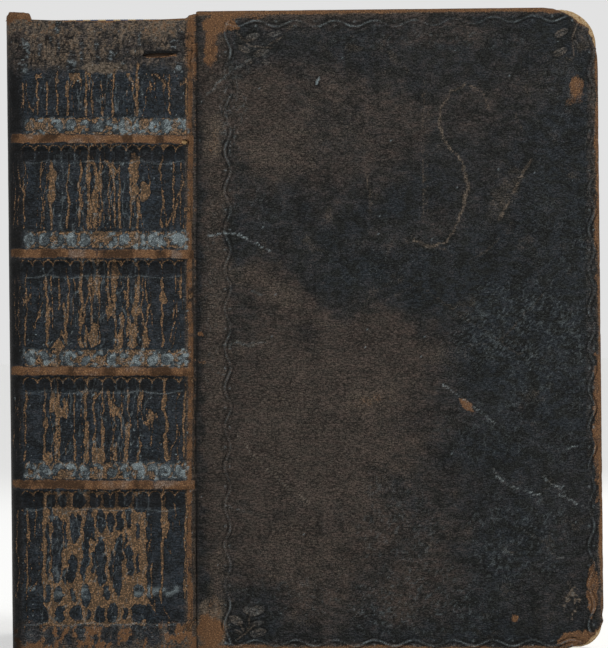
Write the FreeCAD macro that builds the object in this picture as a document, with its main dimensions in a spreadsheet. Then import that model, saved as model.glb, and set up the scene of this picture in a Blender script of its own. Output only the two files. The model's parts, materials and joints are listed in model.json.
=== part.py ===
import FreeCAD, Part
import math
import os
import Sketcher

# An old calf-bound book standing on its tail edges: a rounded spine on raised bands,
# a back cover that is closed and a front cover opened a quarter turn.
#
# Every sub-part is drawn in the book's own frame: X runs across the thickness of the
# book, Y from the spine towards the fore-edge and Z from the tail up to the head. Y is
# zero in the plane of the joints. Each sub-part's Placement then moves the origin from
# there to the middle of the book's footprint, on the ground.

# Millimetres. These sizes drive everything else.
DIMENSIONS = [
    # the covers
    ("cover_height", 214.0),
    ("cover_reach", 135.2),
    ("board_thickness", 3.0),
    ("board_joint_gap", 1.5),
    ("hinge_clearance", 0.3),
    ("leather", 0.8),
    ("leather_edge", 0.6),
    ("rim_round", 0.5),
    ("turn_in", 0.4),
    ("turn_in_width", 15.0),
    ("endpaper", 0.15),
    ("endpaper_margin", 4.0),
    # the worn corners of the front cover, then the sounder ones of the back cover
    ("head_corner_board", 12.0),
    ("head_corner_leather", 19.0),
    ("tail_corner_board", 8.0),
    ("tail_corner_leather", 15.0),
    ("back_corner_board", 4.0),
    ("back_corner_leather", 6.5),
    # the spine: a flat crown arc between two tight shoulder arcs
    ("joint_half_width", 30.95),
    ("spine_half_width", 30.65),
    ("crown_radius", 133.3),
    ("shoulder_radius", 5.5),
    ("spine_rise", 8.0),
    ("lining", 0.8),
    ("tailcap_height", 1.0),
    ("head_left", 212.4),
    ("head_right", 211.8),
    ("head_edge_radius", 420.0),
    # the raised bands over the sewing cords
    ("band_first", 56.0),
    ("band_pitch", 38.0),
    ("cord_radius", 1.2),
    ("cord_half_width", 28.6),
    ("slip_length", 17.0),
    ("slip_width", 5.0),
    ("slip_depth", 0.9),
    # damage to the spine leather
    ("slit_middle_across", 19.8),
    ("slit_height", 199.2),
    ("slit_half_length", 5.2),
    ("slit_half_width", 0.55),
    ("bare_cord_across", 28.2),
    ("bare_cord_half_width", 1.5),
    # the leaves
    ("block_half_width", 26.0),
    ("block_square", 4.6),
    ("block_depth", 131.2),
    ("shoulder_depth", 0.9),
    ("fore_edge_radius", 75.0),
    ("flyleaf", 0.3),
    ("flyleaf_start", 1.4),
    ("endband_radius", 0.9),
    # cutting tools run this far past what they cut
    ("overcut", 5.0),
]
BAND_COUNT = 4

doc = FreeCAD.newDocument("antique_leather_book")
sheet = doc.addObject("Spreadsheet::Sheet", "dims")


class Size:
    """A length that carries both its value and the formula that reads it from the sheet."""

    def __init__(self, value, formula):
        self.value = value
        self.formula = formula

    def __add__(self, other):
        other = as_size(other)
        return Size(self.value + other.value, f"({self.formula} + {other.formula})")

    def __sub__(self, other):
        other = as_size(other)
        return Size(self.value - other.value, f"({self.formula} - {other.formula})")

    def __mul__(self, other):
        other = as_size(other)
        return Size(self.value * other.value, f"({self.formula} * {other.formula})")

    def __truediv__(self, other):
        other = as_size(other)
        return Size(self.value / other.value, f"({self.formula} / {other.formula})")

    def __neg__(self):
        return Size(-self.value, f"(0 - {self.formula})")


def as_size(number):
    return number if isinstance(number, Size) else Size(float(number), repr(float(number)))


def fill_sheet():
    sizes = {}
    for row, (alias, value) in enumerate(DIMENSIONS, start=1):
        sheet.set(f"A{row}", alias)
        sheet.set(f"B{row}", str(value))
        sheet.setAlias(f"B{row}", alias)
        sizes[alias] = Size(value, f"dims.{alias}")
    doc.recompute()
    return sizes


D = fill_sheet()
ZERO = as_size(0)

# The stack of a cover, from its outer leather face inwards.
BOARD_INNER_FACE = D["leather"] + D["board_thickness"]
TURN_IN_FACE = BOARD_INNER_FACE + D["turn_in"]

# The leaves sit inside the spine leather and its lining.
LINING_INSET = D["leather"] + D["lining"]
BLOCK_TOP = D["cover_height"] - D["block_square"]

# A cord rests on the folds of the leaves, so it lifts the leather over it.
CORD_INSET = LINING_INSET - D["cord_radius"]
BAND_RADIUS = D["cord_radius"] + D["leather"]
BAND_RISE = BAND_RADIUS - CORD_INSET

# The middle of the footprint, measured in the book's own frame.
CENTRE_ACROSS = D["cover_reach"] / 2
CENTRE_DEEP = (D["cover_reach"] - D["spine_rise"] - BAND_RISE) / 2


def bind(item, path, size):
    item.setExpression(path, as_size(size).formula)


def place(item, label, across=ZERO, deep=ZERO, turn=0.0):
    """Name a finished sub-part and move it from the book's frame to the footprint's."""
    item.Label = label
    axis = FreeCAD.Vector(0, 0, 1)
    item.Placement = FreeCAD.Placement(FreeCAD.Vector(0, 0, 0), FreeCAD.Rotation(axis, turn))
    bind(item, "Placement.Base.x", across - CENTRE_ACROSS)
    bind(item, "Placement.Base.y", deep - CENTRE_DEEP)
    return item


# Sketch helpers

def new_sketch(body, name, role, lift=ZERO):
    sketch = body.newObject("Sketcher::SketchObject", name)
    plane = next(item for item in body.Origin.OriginFeatures if item.Role == role)
    sketch.AttachmentSupport = [(plane, "")]
    sketch.MapMode = "FlatFace"
    bind(sketch, "AttachmentOffset.Base.z", lift)
    return sketch


def constrain(sketch, *terms):
    """Add a constraint. If its last term is a Size, the sheet drives it."""
    size = terms[-1] if isinstance(terms[-1], Size) else None
    values = terms[:-1] + (size.value,) if size else terms
    index = sketch.addConstraint(Sketcher.Constraint(*values))
    if size:
        bind(sketch, f"Constraints[{index}]", size)


def pin(sketch, edge, end, across, up):
    """Hold one end of an edge at a place measured from the sketch's origin."""
    for kind, size, axis in (("DistanceX", across, -2), ("DistanceY", up, -1)):
        if size.value == 0:
            constrain(sketch, "PointOnObject", edge, end, axis)
        else:
            constrain(sketch, kind, -1, 1, edge, end, size)


def vector(across, up):
    return FreeCAD.Vector(across.value, up.value, 0)


def add_polygon(sketch, corners):
    """Draw a closed outline of straight lines with every corner pinned."""
    count = len(corners)
    first = sketch.GeometryCount
    for index, corner in enumerate(corners):
        following = corners[(index + 1) % count]
        sketch.addGeometry(Part.LineSegment(vector(*corner), vector(*following)))
    for index, corner in enumerate(corners):
        following = first + (index + 1) % count
        constrain(sketch, "Coincident", first + index, 2, following, 1)
        pin(sketch, first + index, 1, *corner)


def add_rectangle(sketch, left, bottom, right, top):
    add_polygon(sketch, [(left, bottom), (right, bottom), (right, top), (left, top)])


def add_circle(sketch, across, up, radius):
    circle = Part.Circle(vector(across, up), FreeCAD.Vector(0, 0, 1), radius.value)
    index = sketch.addGeometry(circle)
    pin(sketch, index, 3, across, up)
    constrain(sketch, "Radius", index, radius)


def add_arch(sketch, half_width, inset, shoulder_radius):
    """Draw left shoulder, crown and right shoulder as tangent arcs that end on the X axis."""
    crown_radius = D["crown_radius"] - inset
    half = half_width.value
    crown = crown_radius.value
    shoulder = shoulder_radius.value
    crown_centre = math.sqrt((crown - shoulder) ** 2 - (half - shoulder) ** 2)
    spread = math.atan2(half - shoulder, crown_centre)
    down = -math.pi / 2
    arcs = [
        (shoulder - half, 0.0, shoulder_radius, math.pi, down - spread + 2 * math.pi),
        (0.0, crown_centre, crown_radius, down - spread, down + spread),
        (half - shoulder, 0.0, shoulder_radius, down + spread, 0.0),
    ]
    left = sketch.GeometryCount
    for across, up, radius, start, end in arcs:
        circle = Part.Circle(FreeCAD.Vector(across, up, 0), FreeCAD.Vector(0, 0, 1), radius.value)
        index = sketch.addGeometry(Part.ArcOfCircle(circle, start, end))
        constrain(sketch, "Radius", index, radius)
    middle = left + 1
    right = left + 2
    constrain(sketch, "Tangent", left, 2, middle, 1)
    constrain(sketch, "Tangent", middle, 2, right, 1)
    for edge, end, reach in ((left, 1, -half_width), (right, 2, half_width)):
        constrain(sketch, "PointOnObject", edge, 3, -1)
        pin(sketch, edge, end, reach, ZERO)
    return left, right


def add_line(sketch, start, end):
    return sketch.addGeometry(Part.LineSegment(vector(*start), vector(*end)))


def add_arch_strip(sketch, outer_inset, inner_inset):
    """Draw the closed section of a sheet that follows the round of the spine."""
    chains = []
    halves = []
    for inset in (outer_inset, inner_inset):
        half = D["spine_half_width"] - inset
        halves.append(half)
        chains.append(add_arch(sketch, half, inset, D["shoulder_radius"] - inset))
    (outer_left, outer_right), (inner_left, inner_right) = chains
    left = add_line(sketch, (-halves[0], ZERO), (-halves[1], ZERO))
    right = add_line(sketch, (halves[0], ZERO), (halves[1], ZERO))
    constrain(sketch, "Coincident", left, 1, outer_left, 1)
    constrain(sketch, "Coincident", left, 2, inner_left, 1)
    constrain(sketch, "Coincident", right, 1, outer_right, 2)
    constrain(sketch, "Coincident", right, 2, inner_right, 2)


def close_arch(sketch, half_width, inset, shoulder_radius):
    """Draw an arch and close it with a straight line along the joints' plane."""
    left, right = add_arch(sketch, half_width, inset, shoulder_radius)
    base = add_line(sketch, (-half_width, ZERO), (half_width, ZERO))
    constrain(sketch, "Coincident", base, 1, left, 1)
    constrain(sketch, "Coincident", base, 2, right, 2)


# Feature helpers

def new_body(name):
    return doc.addObject("PartDesign::Body", name)


def pad(body, sketch, length, reverse=False):
    feature = body.newObject("PartDesign::Pad", sketch.Name + "_pad")
    feature.Profile = sketch
    feature.Reversed = reverse
    bind(feature, "Length", length)
    return feature


def checked_volume(body):
    doc.recompute()
    return body.Shape.Volume


def cut_through(body, sketch, both_ways=False):
    """Pocket right through the body, and make sure that it took something away."""
    before = checked_volume(body)
    feature = body.newObject("PartDesign::Pocket", sketch.Name + "_pocket")
    feature.Profile = sketch
    feature.Type = "ThroughAll"
    feature.Midplane = both_ways
    assert checked_volume(body) < before - 1e-6, feature.Name
    return feature


def pipe(body, kind, name, inset, half_width, radius, lift):
    """Sweep a round section along an arch, as an AdditivePipe or a SubtractivePipe."""
    path = new_sketch(body, name + "_path", "XY_Plane", lift)
    add_arch(path, half_width, inset, D["shoulder_radius"])
    section = new_sketch(body, name + "_section", "XZ_Plane")
    add_circle(section, -half_width, lift, radius)
    doc.recompute()
    feature = body.newObject("PartDesign::" + kind, name)
    feature.Profile = section
    feature.Spine = (path, ["Edge1", "Edge2", "Edge3"])
    doc.recompute()
    return feature


def repeat_up(body, feature, spacing, count):
    """Repeat a feature up the spine, once for each cord."""
    pattern = body.newObject("PartDesign::LinearPattern", feature.Name + "_row")
    pattern.Originals = [feature]
    upright = next(item for item in body.Origin.OriginFeatures if item.Role == "Z_Axis")
    pattern.Direction = (upright, [""])
    bind(pattern, "Length", spacing * (count - 1))
    pattern.Occurrences = count
    body.Tip = pattern
    doc.recompute()
    return pattern


def round_corner(body, across, up, radius):
    """Fillet the edge that runs through a plate's thickness at one corner."""
    doc.recompute()
    base = body.Tip
    near = 1e-3

    def at_corner(edge):
        return all(
            abs(vertex.X - across.value) < near and abs(vertex.Z - up.value) < near
            for vertex in edge.Vertexes
        )

    name = next(f"Edge{i}" for i, edge in enumerate(base.Shape.Edges, 1) if at_corner(edge))
    feature = body.newObject("PartDesign::Fillet", f"{body.Name}_corner")
    feature.Base = (base, [name])
    bind(feature, "Radius", radius)
    body.Tip = feature
    doc.recompute()


def round_rim(body, joint_across, radius):
    """Fillet the rim of a plate's outer face, apart from the edge beside the joint."""
    base = body.Tip
    near = 1e-3

    def on_rim(edge):
        on_face = all(abs(vertex.Y) < near for vertex in edge.Vertexes)
        at_joint = all(abs(vertex.X - joint_across.value) < near for vertex in edge.Vertexes)
        return on_face and not at_joint

    names = [f"Edge{i}" for i, edge in enumerate(base.Shape.Edges, 1) if on_rim(edge)]
    feature = body.newObject("PartDesign::Fillet", f"{body.Name}_rim")
    feature.Base = (base, names)
    bind(feature, "Radius", radius)
    body.Tip = feature
    doc.recompute()


def new_box(name, low, high):
    """A box between two corners, each given as three Sizes."""
    box = doc.addObject("Part::Box", name)
    sides = zip(("x", "y", "z"), ("Length", "Width", "Height"), low, high)
    for axis, side, start, end in sides:
        bind(box, side, end - start)
        bind(box, "Placement.Base." + axis, start)
    return box


def band_height(index):
    return D["band_first"] + D["band_pitch"] * index


# The leaves and what holds them together

def make_text_block():
    """All the leaves: a rounded, backed spine, square shoulders and a hollow fore-edge."""
    body = new_body("text_block")
    outline = new_sketch(body, "text_block_outline", "XY_Plane", D["block_square"])
    half = D["spine_half_width"] - LINING_INSET
    left, right = add_arch(outline, half, LINING_INSET, D["shoulder_radius"] - LINING_INSET)
    side = D["block_half_width"]
    slope = side + D["flyleaf"]
    shoulder = D["shoulder_depth"]
    edge = D["block_depth"]
    route = [(half, ZERO), (half, shoulder), (slope, shoulder), (side, D["flyleaf_start"]), (side, edge)]
    for sign, arch_edge, arch_end in ((1, right, 2), (-1, left, 1)):
        previous = (arch_edge, arch_end)
        for start, end in zip(route, route[1:]):
            line = add_line(outline, (start[0] * sign, start[1]), (end[0] * sign, end[1]))
            constrain(outline, "Coincident", previous[0], previous[1], line, 1)
            pin(outline, line, 2, end[0] * sign, end[1])
            previous = (line, 2)
        if sign > 0:
            right_side = line
        else:
            left_side = line
    radius = D["fore_edge_radius"]
    centre_deep = edge.value + math.sqrt(radius.value ** 2 - side.value ** 2)
    circle = Part.Circle(FreeCAD.Vector(0, centre_deep, 0), FreeCAD.Vector(0, 0, 1), radius.value)
    half_turn = math.asin(side.value / radius.value)
    hollow = outline.addGeometry(
        Part.ArcOfCircle(circle, -math.pi / 2 - half_turn, -math.pi / 2 + half_turn)
    )
    constrain(outline, "Coincident", hollow, 1, left_side, 2)
    constrain(outline, "Coincident", hollow, 2, right_side, 2)
    constrain(outline, "Radius", hollow, radius)
    pad(body, outline, D["cover_height"] - D["block_square"] * 2)
    notch = pipe(
        body, "SubtractivePipe", "cord_notch", CORD_INSET, D["cord_half_width"],
        D["cord_radius"], D["band_first"],
    )
    repeat_up(body, notch, D["band_pitch"], BAND_COUNT)
    return place(body, "text_block")


def make_flyleaf(side_name, sign):
    inner = D["block_half_width"] * sign
    outer = (D["block_half_width"] + D["flyleaf"]) * sign
    low, high = (inner, outer) if sign > 0 else (outer, inner)
    leaf = new_box(
        f"{side_name}_flyleaf",
        (low, D["flyleaf_start"], D["block_square"]),
        (high, D["block_depth"] - 1, BLOCK_TOP),
    )
    low_across = low - CENTRE_ACROSS
    bind(leaf, "Placement.Base.x", low_across)
    bind(leaf, "Placement.Base.y", D["flyleaf_start"] - CENTRE_DEEP)
    leaf.Label = f"{side_name}_flyleaf"
    return leaf


def make_sewing_cord(index):
    body = new_body(f"sewing_cord_{index + 1}")
    pipe(
        body, "AdditivePipe", f"cord_{index + 1}", CORD_INSET, D["cord_half_width"],
        D["cord_radius"], band_height(index),
    )
    return place(body, f"sewing_cord_{index + 1}")


def make_endband(name, height):
    body = new_body(name)
    inset = LINING_INSET + D["endband_radius"] - D["lining"] + 0.1
    half = D["spine_half_width"] - inset
    path = new_sketch(body, name + "_path", "XY_Plane", height)
    add_arch(path, half, inset, D["shoulder_radius"] - inset)
    section = new_sketch(body, name + "_section", "XZ_Plane")
    add_circle(section, -half, height, D["endband_radius"])
    doc.recompute()
    feature = body.newObject("PartDesign::AdditivePipe", name + "_roll")
    feature.Profile = section
    feature.Spine = (path, ["Edge1", "Edge2", "Edge3"])
    return place(body, name)


def make_spine_lining(index):
    """The lining of one panel, between the cords that bound it."""
    clear = D["cord_radius"] + 0.1
    low = band_height(index - 1) + clear if index > 0 else D["block_square"]
    high = band_height(index) - clear if index < BAND_COUNT else BLOCK_TOP
    name = f"spine_lining_{index + 1}"
    body = new_body(name)
    section = new_sketch(body, name + "_section", "XY_Plane", low)
    add_arch_strip(section, D["leather"], LINING_INSET)
    pad(body, section, high - low)
    return place(body, name)


def make_spine_leather():
    """The calf over the spine: an arched sheet raised over the cords, worn at the head."""
    body = new_body("spine_leather")
    section = new_sketch(body, "spine_section", "XY_Plane", D["tailcap_height"])
    add_arch_strip(section, ZERO, D["leather"])
    pad(body, section, D["cover_height"] - D["tailcap_height"])
    band = pipe(
        body, "AdditivePipe", "band", CORD_INSET, D["cord_half_width"], BAND_RADIUS,
        D["band_first"],
    )
    repeat_up(body, band, D["band_pitch"], BAND_COUNT)

    hollow = new_sketch(body, "spine_hollow", "XY_Plane")
    inner = D["leather"]
    close_arch(hollow, D["spine_half_width"] - inner, inner, D["shoulder_radius"] - inner)
    cut_through(body, hollow, both_ways=True)
    groove = pipe(
        body, "SubtractivePipe", "cord_groove", CORD_INSET, D["cord_half_width"],
        D["cord_radius"], D["band_first"],
    )
    repeat_up(body, groove, D["band_pitch"], BAND_COUNT)
    cut_head_edge(body)
    cut_slit(body)
    cut_bare_cord(body)
    return place(body, "spine_leather")


def cut_head_edge(body):
    """The headcap has gone, which leaves a shallow dip from joint to joint."""
    sketch = new_sketch(body, "head_edge", "XZ_Plane")
    reach = D["joint_half_width"] + D["overcut"]
    top = D["cover_height"] + D["overcut"]
    left = (-reach, D["head_left"])
    right = (reach, D["head_right"])
    chord_across = right[0].value - left[0].value
    chord_up = right[1].value - left[1].value
    chord = math.hypot(chord_across, chord_up)
    radius = D["head_edge_radius"]
    dip = radius.value - math.sqrt(radius.value ** 2 - (chord / 2) ** 2)
    middle_up = (left[1].value + right[1].value) / 2
    middle = FreeCAD.Vector(dip * chord_up / chord, middle_up - dip * chord_across / chord, 0)
    arc = sketch.addGeometry(Part.Arc(vector(*left), middle, vector(*right)))
    corners = [right, (reach, top), (-reach, top), left]
    lines = [add_line(sketch, start, end) for start, end in zip(corners, corners[1:])]
    constrain(sketch, "Coincident", arc, 2, lines[0], 1)
    constrain(sketch, "Coincident", lines[0], 2, lines[1], 1)
    constrain(sketch, "Coincident", lines[1], 2, lines[2], 1)
    constrain(sketch, "Coincident", lines[2], 2, arc, 1)
    pin(sketch, lines[0], 1, *right)
    pin(sketch, lines[1], 1, reach, top)
    pin(sketch, lines[2], 1, -reach, top)
    pin(sketch, lines[2], 2, *left)
    constrain(sketch, "Radius", arc, radius)
    cut_through(body, sketch, both_ways=True)


def cut_slit(body):
    """A short tear across the head panel, pointed at both ends."""
    sketch = new_sketch(body, "slit", "XZ_Plane")
    across = D["slit_middle_across"]
    height = D["slit_height"]
    long = D["slit_half_length"]
    wide = D["slit_half_width"]
    add_polygon(sketch, [
        (across - long, height),
        (across - long / 2, height - wide),
        (across + long, height - wide / 2),
        (across + long, height + wide),
        (across - long / 2, height + wide),
    ])
    cut_through(body, sketch, both_ways=True)


def cut_bare_cord(body):
    """The leather has worn off the end of the top cord at the front joint."""
    sketch = new_sketch(body, "bare_cord", "XZ_Plane")
    across = D["bare_cord_across"]
    height = band_height(BAND_COUNT - 1)
    wide = D["bare_cord_half_width"]
    add_polygon(sketch, [
        (across - wide, height - wide / 2),
        (across, height - wide),
        (across + wide, height),
        (across + wide / 2, height + wide),
        (across - wide / 2, height + wide / 2),
    ])
    cut_through(body, sketch, both_ways=True)


# The covers, drawn opened a quarter turn about their joint, which is the local origin.
# The front cover reaches towards +X and the back cover towards -X.

def spans(sign, near, far):
    """The lower and higher X of a stretch between two distances from the joint."""
    return (near, far) if sign > 0 else (-far, -near)


def make_board(side_name, sign, head_radius, tail_radius):
    """Pasteboard with rounded fore-edge corners and a recess for each cord's end."""
    body = new_body(f"{side_name}_board")
    face = new_sketch(body, f"{side_name}_board_face", "XZ_Plane", -D["leather"])
    fore_edge = D["cover_reach"] - D["leather_edge"]
    low, high = spans(sign, D["board_joint_gap"], fore_edge)
    bottom = D["leather_edge"]
    top = D["cover_height"] - D["leather_edge"]
    add_rectangle(face, low, bottom, high, top)
    pad(body, face, D["board_thickness"], reverse=True)
    doc.recompute()
    before = body.Shape.Volume
    recess = new_sketch(body, f"{side_name}_slip_recess", "XZ_Plane", -D["leather"])
    near, far = spans(sign, D["board_joint_gap"], D["board_joint_gap"] + D["slip_length"])
    half = D["slip_width"] / 2
    add_rectangle(recess, near, D["band_first"] - half, far, D["band_first"] + half)
    pocket = body.newObject("PartDesign::Pocket", f"{side_name}_slip_pocket")
    pocket.Profile = recess
    pocket.Reversed = False
    bind(pocket, "Length", D["slip_depth"])
    assert checked_volume(body) < before - 1e-6, pocket.Name
    repeat_up(body, pocket, D["band_pitch"], BAND_COUNT)
    corner = high if sign > 0 else low
    round_corner(body, corner, top, head_radius)
    round_corner(body, corner, bottom, tail_radius)
    return body


def make_cover_leather(side_name, sign, head_radius, tail_radius):
    """The calf over one board, turned in over three edges and worn off at the corners."""
    blank = new_body(f"{side_name}_leather_blank")
    face = new_sketch(blank, f"{side_name}_leather_face", "XZ_Plane")
    low, high = spans(sign, D["hinge_clearance"], D["cover_reach"])
    add_rectangle(face, low, ZERO, high, D["cover_height"])
    pad(blank, face, TURN_IN_FACE, reverse=True)
    corner = high if sign > 0 else low
    round_corner(blank, corner, D["cover_height"], head_radius)
    round_corner(blank, corner, ZERO, tail_radius)
    round_rim(blank, low if sign > 0 else high, D["rim_round"])

    edge = D["leather_edge"]
    over = D["overcut"]
    board_low, board_high = spans(sign, D["board_joint_gap"] - over, D["cover_reach"] - edge)
    board_space = new_box(
        f"{side_name}_board_space",
        (board_low, D["leather"], edge),
        (board_high, BOARD_INNER_FACE, D["cover_height"] - edge),
    )
    inner_low, inner_high = spans(sign, -over, D["cover_reach"] - D["turn_in_width"])
    window = new_box(
        f"{side_name}_turn_in_window",
        (inner_low, BOARD_INNER_FACE, D["turn_in_width"]),
        (inner_high, TURN_IN_FACE + over, D["cover_height"] - D["turn_in_width"]),
    )
    joint_low, joint_high = spans(sign, -over, D["board_joint_gap"])
    joint = new_box(
        f"{side_name}_joint_space",
        (joint_low, D["leather"], -over),
        (joint_high, TURN_IN_FACE + over, D["cover_height"] + over),
    )
    spaces = doc.addObject("Part::MultiFuse", f"{side_name}_leather_spaces")
    spaces.Shapes = [board_space, window, joint]
    leather = doc.addObject("Part::Cut", f"{side_name}_leather")
    leather.Base = blank
    leather.Tool = spaces
    return leather


def make_pastedown(side_name, sign):
    """The pasted endpaper, with the sheet that fills the board between the turn-ins."""
    margin = D["endpaper_margin"]
    fill_edge = D["turn_in_width"]
    gap = D["board_joint_gap"]
    fill_low, fill_high = spans(sign, gap, D["cover_reach"] - fill_edge)
    fill = new_box(
        f"{side_name}_fill",
        (fill_low, BOARD_INNER_FACE, fill_edge),
        (fill_high, TURN_IN_FACE, D["cover_height"] - fill_edge),
    )
    low, high = spans(sign, gap, D["cover_reach"] - margin)
    paper = new_box(
        f"{side_name}_paper",
        (low, TURN_IN_FACE, margin),
        (high, TURN_IN_FACE + D["endpaper"], D["cover_height"] - margin),
    )
    pastedown = doc.addObject("Part::Fuse", f"{side_name}_pastedown")
    pastedown.Base = fill
    pastedown.Tool = paper
    return pastedown


def make_cord_slip(side_name, sign, index):
    half = D["slip_width"] / 2
    gap = D["board_joint_gap"]
    low, high = spans(sign, gap, gap + D["slip_length"])
    middle = band_height(index)
    body = new_body(f"{side_name}_cord_slip_{index + 1}")
    face = new_sketch(body, f"{side_name}_slip_face_{index + 1}", "XZ_Plane", -D["leather"])
    add_rectangle(face, low, middle - half, high, middle + half)
    pad(body, face, D["slip_depth"], reverse=True)
    return body


def make_cover(side_name, sign, turn, board_corners, leather_corners):
    pieces = {
        "board": make_board(side_name, sign, *board_corners),
        "leather": make_cover_leather(side_name, sign, *leather_corners),
        "pastedown": make_pastedown(side_name, sign),
    }
    for index in range(BAND_COUNT):
        pieces[f"cord_slip_{index + 1}"] = make_cord_slip(side_name, sign, index)
    joint = D["joint_half_width"] * sign
    return [
        place(piece, f"{side_name}_{name}", across=joint, turn=turn)
        for name, piece in pieces.items()
    ]


def make_book():
    parts = [
        make_text_block(),
        make_flyleaf("front", 1),
        make_flyleaf("back", -1),
        make_endband("head_endband", BLOCK_TOP + D["endband_radius"]),
        make_endband("tail_endband", D["block_square"] - D["endband_radius"]),
        make_spine_leather(),
    ]
    parts += [make_sewing_cord(index) for index in range(BAND_COUNT)]
    parts += [make_spine_lining(index) for index in range(BAND_COUNT + 1)]
    parts += make_cover(
        "front", 1, 0.0,
        (D["head_corner_board"], D["tail_corner_board"]),
        (D["head_corner_leather"], D["tail_corner_leather"]),
    )
    parts += make_cover(
        "back", -1, -90.0,
        (D["back_corner_board"], D["back_corner_board"]),
        (D["back_corner_leather"], D["back_corner_leather"]),
    )
    return parts


def check_and_export(parts):
    doc.recompute()
    for item in doc.Objects:
        if "Invalid" in item.State or "Error" in item.State:
            raise RuntimeError(f"{item.Name} did not compute: {item.State}")
    for part in parts:
        if part.Shape.isNull() or not part.Shape.isValid():
            raise RuntimeError(f"{part.Label} has no valid shape")
    os.makedirs("parts", exist_ok=True)
    for part in parts:
        part.Shape.exportStep(f"parts/{part.Label}.step")


check_and_export(make_book())
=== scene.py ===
"""Looks of an antique leather book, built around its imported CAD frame."""

import json
import math

import bpy
import numpy as np
from mathutils import Matrix, Vector


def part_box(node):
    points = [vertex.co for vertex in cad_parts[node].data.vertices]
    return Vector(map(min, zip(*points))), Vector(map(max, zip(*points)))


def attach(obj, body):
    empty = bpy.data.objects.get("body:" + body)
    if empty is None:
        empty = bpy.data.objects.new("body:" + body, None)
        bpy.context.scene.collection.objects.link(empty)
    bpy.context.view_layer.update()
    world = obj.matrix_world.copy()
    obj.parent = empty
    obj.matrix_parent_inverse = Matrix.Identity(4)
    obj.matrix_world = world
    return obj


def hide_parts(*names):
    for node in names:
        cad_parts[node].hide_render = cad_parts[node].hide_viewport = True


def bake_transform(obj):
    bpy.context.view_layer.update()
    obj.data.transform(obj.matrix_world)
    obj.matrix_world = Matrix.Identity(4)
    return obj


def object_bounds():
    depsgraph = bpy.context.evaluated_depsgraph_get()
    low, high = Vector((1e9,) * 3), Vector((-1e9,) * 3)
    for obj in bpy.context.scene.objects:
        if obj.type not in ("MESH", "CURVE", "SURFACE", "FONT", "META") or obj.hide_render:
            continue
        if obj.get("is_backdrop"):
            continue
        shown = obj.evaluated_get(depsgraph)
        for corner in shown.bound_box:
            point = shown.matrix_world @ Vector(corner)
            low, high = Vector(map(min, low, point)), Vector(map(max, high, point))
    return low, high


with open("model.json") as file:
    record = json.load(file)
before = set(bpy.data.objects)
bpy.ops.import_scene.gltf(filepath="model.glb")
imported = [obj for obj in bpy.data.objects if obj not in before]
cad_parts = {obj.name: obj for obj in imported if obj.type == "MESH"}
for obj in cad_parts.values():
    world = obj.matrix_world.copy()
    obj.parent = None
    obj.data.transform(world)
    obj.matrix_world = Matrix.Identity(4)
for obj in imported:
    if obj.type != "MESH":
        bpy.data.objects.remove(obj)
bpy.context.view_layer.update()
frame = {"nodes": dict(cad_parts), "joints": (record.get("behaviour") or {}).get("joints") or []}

MM = 0.001

# The book's own frame, in millimetres: X across the spine from its middle, Y from the
# joints towards the leaves, Z up. Both joints lie on Y = 0.
axis_of = {joint["name"]: joint["pos_m"] for joint in frame["joints"]}
SPINE_X = (axis_of["front_joint"][0] + axis_of["back_joint"][0]) / 2
JOINT_Y = axis_of["front_joint"][1]
HINGE = (axis_of["front_joint"][0] - axis_of["back_joint"][0]) / 2 / MM


def book_box(node):
    """The lowest and highest corner of a CAD node in the book's own millimetres."""
    shift = Vector((SPINE_X, JOINT_Y, 0))
    low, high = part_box(node)
    return (Vector(low) - shift) / MM, (Vector(high) - shift) / MM


_, cover_high = book_box("front_leather")
board_low, board_high = book_box("front_board")
paper_low, paper_high = book_box("front_pastedown")
block_low, block_high = book_box("text_block")
flyleaf_low, flyleaf_high = book_box("front_flyleaf")
_, spine_high = book_box("spine_leather")
cord_low, cord_high = book_box("sewing_cord_4")

HEIGHT = cover_high.z
REACH = cover_high.x - HINGE
LEATHER = board_low.y
TURN_IN_DEPTH = cover_high.y

# The round of the spine: a flat crown arc between two tight shoulder arcs.
SPINE_HALF = spine_high.x
SHOULDER_R = 5.5
CROWN_R = 133.3
LINING_INSET = 1.6
CORD_R = (cord_high.z - cord_low.z) / 2
CORD_HALF = cord_high.x - CORD_R
CORD_INSET = 0.4
BAND_R = CORD_R + LEATHER
CORD_NUMBERS = (1, 2, 3, 4)


def middle_height(node):
    low, high = book_box(node)
    return (low.z + high.z) / 2


BAND_HEIGHTS = [middle_height(f"sewing_cord_{number}") for number in CORD_NUMBERS]

# The leaves: half their thickness, and the hollow round of their fore-edge.
BLOCK_HALF = 26.0
FORE_EDGE_R = 75.0

# Wear that the CAD has too.
SLIT_ACROSS, SLIT_HEIGHT, SLIT_LONG, SLIT_WIDE = 19.8, 199.2, 5.2, 0.62
HOLE_ACROSS, HOLE_HEIGHT, HOLE_RADIUS = 28.2, 170.0, 1.35
HEAD_LEFT, HEAD_RIGHT, HEAD_REACH, HEAD_DIP = 212.4, 211.8, 35.95, 1.54

# The photograph: a third of a millimetre to a pixel, turned a little to the left.
PHOTO_HEIGHT_PX = 648
PIXEL = 1 / 3
PHOTO_MIDDLE = (304, 324)
MIDDLE_ACROSS = 67.28
MIDDLE_UP = 109.33
TURN = math.radians(0.6)


def to_photo(across, up):
    """Book millimetres, seen square on, to pixels of the photograph."""
    dx = across - MIDDLE_ACROSS
    dz = up - MIDDLE_UP
    px = PHOTO_MIDDLE[0] + (dx * math.cos(TURN) - dz * math.sin(TURN)) / PIXEL
    py = PHOTO_MIDDLE[1] - (dx * math.sin(TURN) + dz * math.cos(TURN)) / PIXEL
    return px, py


# Noise

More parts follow.
